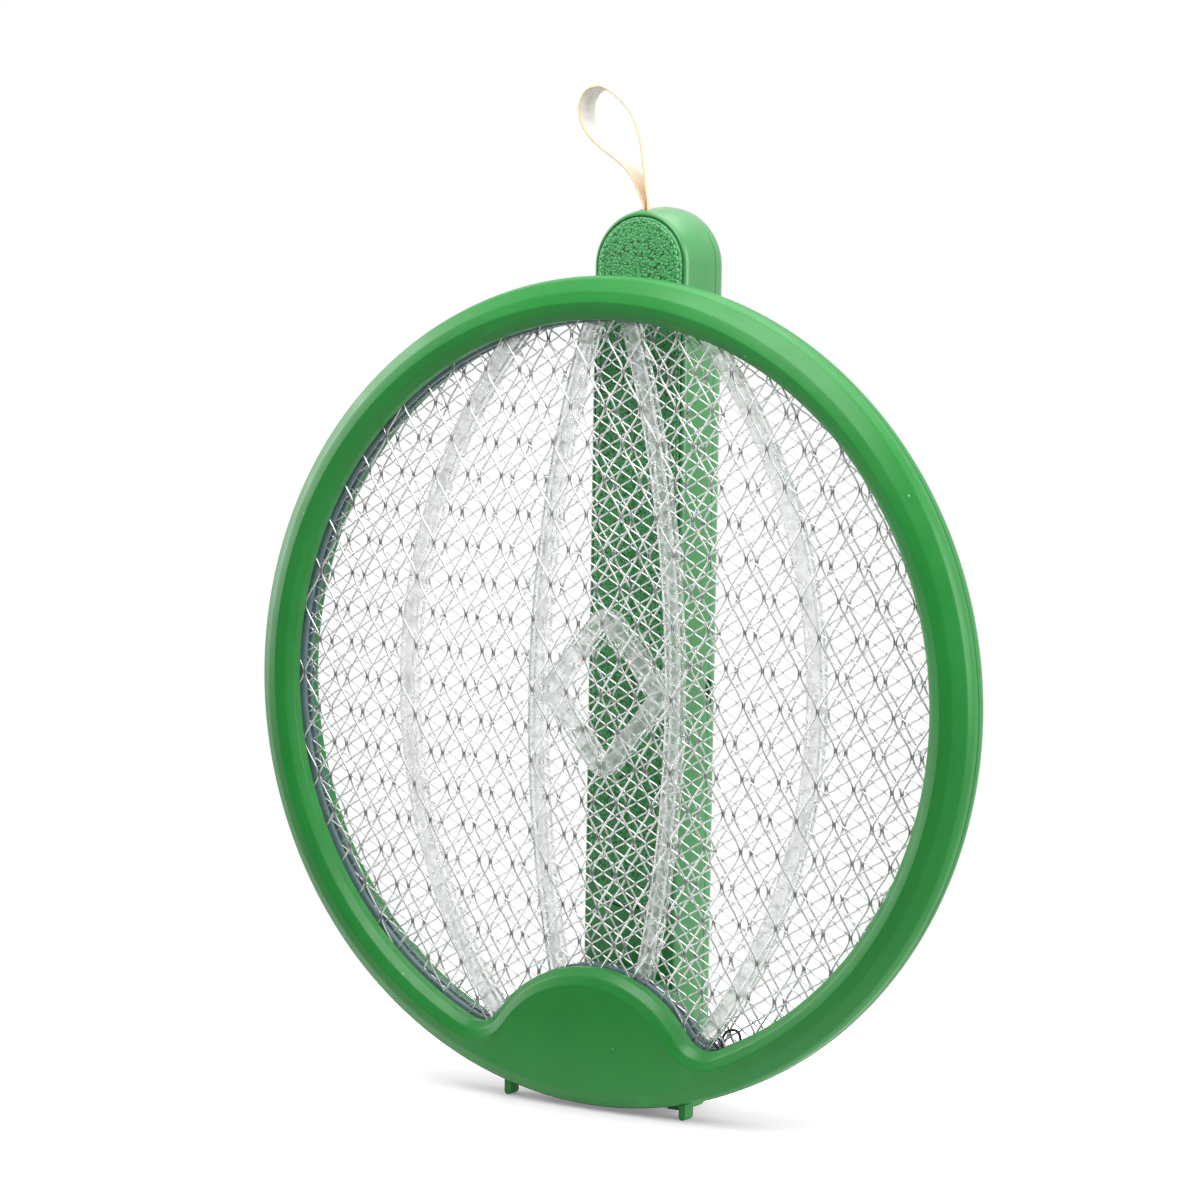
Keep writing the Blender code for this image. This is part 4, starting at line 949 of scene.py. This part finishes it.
def make_pad():
    """The leather-look pad: a low crown with a turned-down edge, and its grain in the mesh."""
    depth, crown, sides, row_step = 0.00020, 0.00030, 0.0006, 0.00018
    insets = [0, 0, 0.00015, 0.00035] + list(np.arange(0.0006, PAD_HALF_WIDTH - 0.0004, row_step))
    heights = [PAD_RECESS_Y - PAD_GAP] + [PAD_FRONT_Y + sides * t for t in (1, 0.4, 0.12)]
    loops, crowns = [], []
    for i, inset in enumerate(insets):
        row, marks = [], []
        for x, z in pad_outline(inset):
            inner = inset / PAD_HALF_WIDTH
            rise = crown * (1 - (1 - inner) ** 2)
            mark = grain(x, z) if i > 1 else 0.4
            base = heights[i] if i < 4 else PAD_FRONT_Y
            row.append((x, base - rise * (i > 1) - depth * mark * (i > 1), z))
            marks.append(mark)
        loops.append(row)
        crowns += marks
    piece = make("pad", loft(loops), "handle", LEATHER, ["grip_pad"], 75)
    layer = piece.data.attributes.new("crown", "FLOAT", "POINT")
    layer.data.foreach_set("value", crowns)


def make_stitching():
    """A line of short stitches inside the pad's edge, with their ends sunk into it."""
    line = spaced(pad_outline(STITCH_INSET), STITCH_PITCH, closed=True)
    stitches = []
    ahead = np.roll(line, -1, axis=0)
    for (x0, z0), (x1, z1) in zip(line, ahead):
        start = Vector((x0, PAD_FRONT_Y - 0.00012, z0))
        step = (Vector((x1, start.y, z1)) - start) * 0.62
        spots = [start + step * t for t in (0, 0.15, 0.5, 0.85, 1)]
        rise = (0.0002, 0, -0.00006, 0, 0.0002)
        line_here = [spot + Vector((0, r, 0)) for spot, r in zip(spots, rise)]
        stitches.append(tube(line_here, STITCH_RADIUS, 6))
    make("pad_stitching", merged(stitches), "handle", THREAD)


# ---------------------------------------------------------------- controls, screws and leads


def make_button():
    """A round cap with a stem, a collar and a dished top."""
    top = HANDLE_REAR_Y + BUTTON_PROUD
    profile = [(0.0018, 0.0315), (0.0018, 0.0330), (0.0072, 0.0330), (0.0072, 0.0342)]
    edge = ((0, 0.0006), (0.0002, 0.0002), (0.0007, 0), (0.0013, 0.00005))
    profile += [(BUTTON_RADIUS, 0.0342)] + [(BUTTON_RADIUS - inset, top - drop) for inset, drop in edge]
    profile += [(0.0040, top - 0.0004), (0.0020, top - 0.0006), (0.0002, top - 0.00065)]
    cap = turned(profile, (0, BUTTON_Z), 64)
    make("button_cap", cap, "button", BUTTON, ["zap_button"])


def make_slider():
    """A knob with a ribbed top, on a plate that runs inside the cover."""
    parts = [box((-0.0040, 0.0326, SLIDER_Z - 0.0040), (0.0040, 0.0342, SLIDER_Z + 0.0040))]
    parts.append(box((-0.0010, 0.0315, SLIDER_Z - 0.0012), (0.0010, 0.0327, SLIDER_Z + 0.0012)))
    outline = [(SLIDER_Z - 0.0025, 0.0341), (SLIDER_Z - 0.0025, 0.0366)]
    for i in range(7):
        low = SLIDER_Z - 0.0021 + i * 0.0006
        outline += [(low, 0.0369), (low + 0.0003, 0.0369), (low + 0.0003, 0.0366), (low + 0.0006, 0.0366)]
    outline = outline[:-1] + [(SLIDER_Z + 0.0025, 0.0366), (SLIDER_Z + 0.0025, 0.0341)]
    parts.append(loft([[(x, y, z) for z, y in outline] for x in (-0.0020, 0.0020)]))
    make("slider_knob", merged(parts), "slider", SLIDER, ["mode_slider"])


def make_lens():
    lens = [(0.0015, 0.0277), (0.0015, 0.0357), (0.0014, 0.0360), (0.0010, 0.0362), (0.0002, 0.0363)]
    make("led_lens", turned(lens, (0, LED_Z), 32), "handle", LENS, ["status_led"])


def make_screw(name, node, body, spot, head_y, tip_y, head_radius=0.0020, shank=0.0010):
    """A pan-head screw driven in from the back, with a crossed recess."""
    under = head_y - 0.0011
    profile = [(shank * 0.3, tip_y), (shank, tip_y + 0.0012), (shank, under), (head_radius, under)]
    profile += [(head_radius, head_y - 0.0006), (head_radius * 0.96, head_y - 0.0004)]
    profile += [(head_radius * 0.84, head_y - 0.00015), (head_radius * 0.55, head_y), (0.0001, head_y)]
    piece = make(name, turned(profile, spot, 32), body, SCREW, [node])
    x, z = spot
    arm, half, floor = head_radius * 0.62, 0.00022, head_y - 0.0007
    cross = [(arm, -half), (arm, half), (half, half), (half, arm), (-half, arm), (-half, half), (-arm, half),
             (-arm, -half), (-half, -half), (-half, -arm), (half, -arm), (half, -half)]
    loops = [[(x + u * 0.6, floor, z + v * 0.6) for u, v in cross]]
    loops.append([(x + u, head_y + 0.0002, z + v) for u, v in cross])
    cut(piece, "DIFFERENCE", loft(loops))


def make_screws():
    for number, spot in enumerate(ring_screw_places(), 1):
        make_screw(f"screw_ring_{number}", f"ring_screw_{number}", "head", spot, 0.0094, -0.0020)
    for number, spot in enumerate(FORK_SCREW_PLACES, 1):
        make_screw(f"screw_fork_{number}", f"fork_screw_{number}", "head", spot, 0.0136, 0.0040)
    for number, spot in enumerate(HANDLE_SCREW_PLACES, 1):
        make_screw(f"screw_handle_{number}", f"handle_screw_{number}", "handle", spot, 0.0358, 0.0215)


def make_leads():
    """Two black wires that come out of the hump's right end, curl over once and end at the outer grids."""
    routes = {
        "front": [(0.0246, 0.0018, -0.0960), (0.0290, 0.0014, -0.0975), (0.0335, 0.0012, -0.0985),
                  (0.0380, 0.0008, -0.0958), (0.0418, 0.0010, -0.0930), (0.0442, 0.0014, -0.0896),
                  (0.0430, 0.0018, -0.0868), (0.0400, 0.0016, -0.0872), (0.0388, 0.0010, -0.0902),
                  (0.0404, 0.0006, -0.0928), (0.0384, 0.0004, -0.0920), (0.0364, 0.0004, -0.0900)],
        "rear": [(0.0246, 0.0018, -0.1010), (0.0290, 0.0034, -0.1000), (0.0335, 0.0042, -0.0980),
                 (0.0352, 0.0044, -0.0952), (0.0362, 0.0048, -0.0925), (0.0358, 0.0050, -0.0904),
                 (0.0340, 0.0052, -0.0904), (0.0336, 0.0053, -0.0922), (0.0352, 0.0054, -0.0936),
                 (0.0374, 0.0054, -0.0922)],
    }
    for side, route in routes.items():
        wire = tube(smooth_line(route, 8), LEAD_RADIUS, 10)
        make(f"{side}_lead_wire", wire, "head", BLACK, [f"{side}_grid_lead"])


# ---------------------------------------------------------------- pieces that stay as the CAD has them


def finish_cad_nodes():
    """Gives each kept CAD node its material, and a small bevel on its edges."""
    finishes = {
        "foot_left": (FORK, 0.0003), "foot_right": (FORK, 0.0003), "hinge_fork": (FORK, 0.0004),
        "hinge_knuckle": (FORK, 0.0003), "hinge_pin": (PIN, 0.0003), "hinge_washer_left": (WASHER, 0.0001),
        "hinge_washer_right": (WASHER, 0.0001), "hv_board": (BOARD, 0.0001), "main_board": (BOARD, 0.0001),
        "hv_transformer": (BLACK, 0.0004), "hv_capacitor": (WRAP, 0.0003), "battery_cell": (WRAP, 0.0003),
        "tact_switch": (BLACK, 0.0002), "slide_switch_body": (SOCKET, 0.0002),
        "usb_socket": (SOCKET, 0.0001), "strap_pin": (PIN, 0.0001),
    }
    for name, (material, width) in finishes.items():
        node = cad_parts[name]
        for slot in node.material_slots:
            slot.material = material
        if not node.material_slots:
            node.data.materials.append(material)
        bevel = node.modifiers.new("bevel", "BEVEL")
        bevel.width = width
        bevel.segments = 3
        bevel.limit_method = "ANGLE"
        bevel.angle_limit = math.radians(40)
        bevel.harden_normals = True


# ---------------------------------------------------------------- studio


def make_floor():
    """A pale patch under the object that takes its shadow and fades out before its edge."""
    outline = circle((0, 0), FLOOR_REACH, FLOOR_SIDES)
    mesh = bpy.data.meshes.new("floor")
    mesh.from_pydata([(x, y / FLOOR_FLATNESS, cad_box[0][2]) for x, y in outline], [],
                     [tuple(range(FLOOR_SIDES))])
    paper = new_material("floor_paper", (0.94, 0.94, 0.94), 0.6, Specular_IOR_Level=0.15)
    tone = ramp(paper, surface_noise(paper, 12), [(0.3, (0.935,) * 3), (0.7, (0.945,) * 3)])
    feed(paper, "Base Color", tone)
    place = add(paper, "ShaderNodeTexCoord").outputs["Object"]
    flat = add(paper, "ShaderNodeMapping", Vector=place, Scale=(1, FLOOR_FLATNESS, 0)).outputs[0]
    reach = add(paper, "ShaderNodeVectorMath", Vector=flat)
    reach.operation = "LENGTH"
    fade = add(paper, "ShaderNodeMapRange", Value=reach.outputs["Value"], From_Min=FLOOR_SOLID,
               From_Max=FLOOR_REACH * 0.98, To_Min=FLOOR_OPACITY, To_Max=0.0)
    fade.interpolation_type = "SMOOTHSTEP"
    feed(paper, "Alpha", fade.outputs["Result"])
    mesh.materials.append(paper)
    floor = bpy.data.objects.new("floor", mesh)
    bpy.context.scene.collection.objects.link(floor)
    floor.is_shadow_catcher = True


def make_lights():
    """Four soft lights: above, close in front, and one on each side."""
    for name, spot, size, power in LIGHTS:
        data = bpy.data.lights.new(name, "AREA")
        data.size = size
        data.energy = power
        light = bpy.data.objects.new(name, data)
        bpy.context.scene.collection.objects.link(light)
        light.visible_camera = False
        light.location = spot
        light.rotation_euler = (LIT_SPOT - Vector(spot)).to_track_quat("-Z", "Y").to_euler()


def math_of(made, operation, first, second):
    """The result of a two-value math node."""
    node = made.node_tree.nodes.new("ShaderNodeMath")
    node.operation = operation
    made.node_tree.links.new(first, node.inputs[0])
    made.node_tree.links.new(second, node.inputs[1])
    return node.outputs[0]


def make_world():
    """Bright behind and below the object, and dark in front of it.

    What the camera sees directly, or through clear plastic, is plain white.
    """
    world = bpy.data.worlds.new("studio")
    bpy.context.scene.world = world
    world.use_nodes = True
    place = add(world, "ShaderNodeTexCoord").outputs["Generated"]
    parts = add(world, "ShaderNodeSeparateXYZ", Vector=place).outputs
    behind = spread(world, parts["Y"], -0.85, 0.05, 0.04, 0.80)
    below = spread(world, parts["Z"], -0.4, 0.0, 0.55, 0.0)
    above = spread(world, parts["Z"], 0.0, 0.9, 0.0, 0.30)
    glow = math_of(world, "ADD", math_of(world, "MAXIMUM", behind, below), above)
    ray = add(world, "ShaderNodeLightPath").outputs
    direct = math_of(world, "MAXIMUM", ray["Is Camera Ray"], ray["Is Transmission Ray"])
    seen = world.node_tree.nodes.new("ShaderNodeMix")
    seen.inputs[3].default_value = 1.0
    background = world.node_tree.nodes["Background"]
    background.inputs["Color"].default_value = (1, 1, 1, 1)
    links = world.node_tree.links
    links.new(direct, seen.inputs["Factor"])
    links.new(glow, seen.inputs[2])
    links.new(seen.outputs[0], background.inputs["Strength"])
    bpy.context.scene.view_settings.view_transform = "Standard"


make_camera()
make_strap()
make_ring_shells()
make_grids()
make_rib_frames()
make_handle_front()
make_handle_rear()
make_pad()
make_stitching()
make_button()
make_slider()
make_lens()
make_screws()
make_leads()
finish_cad_nodes()
make_floor()
make_lights()
make_world()
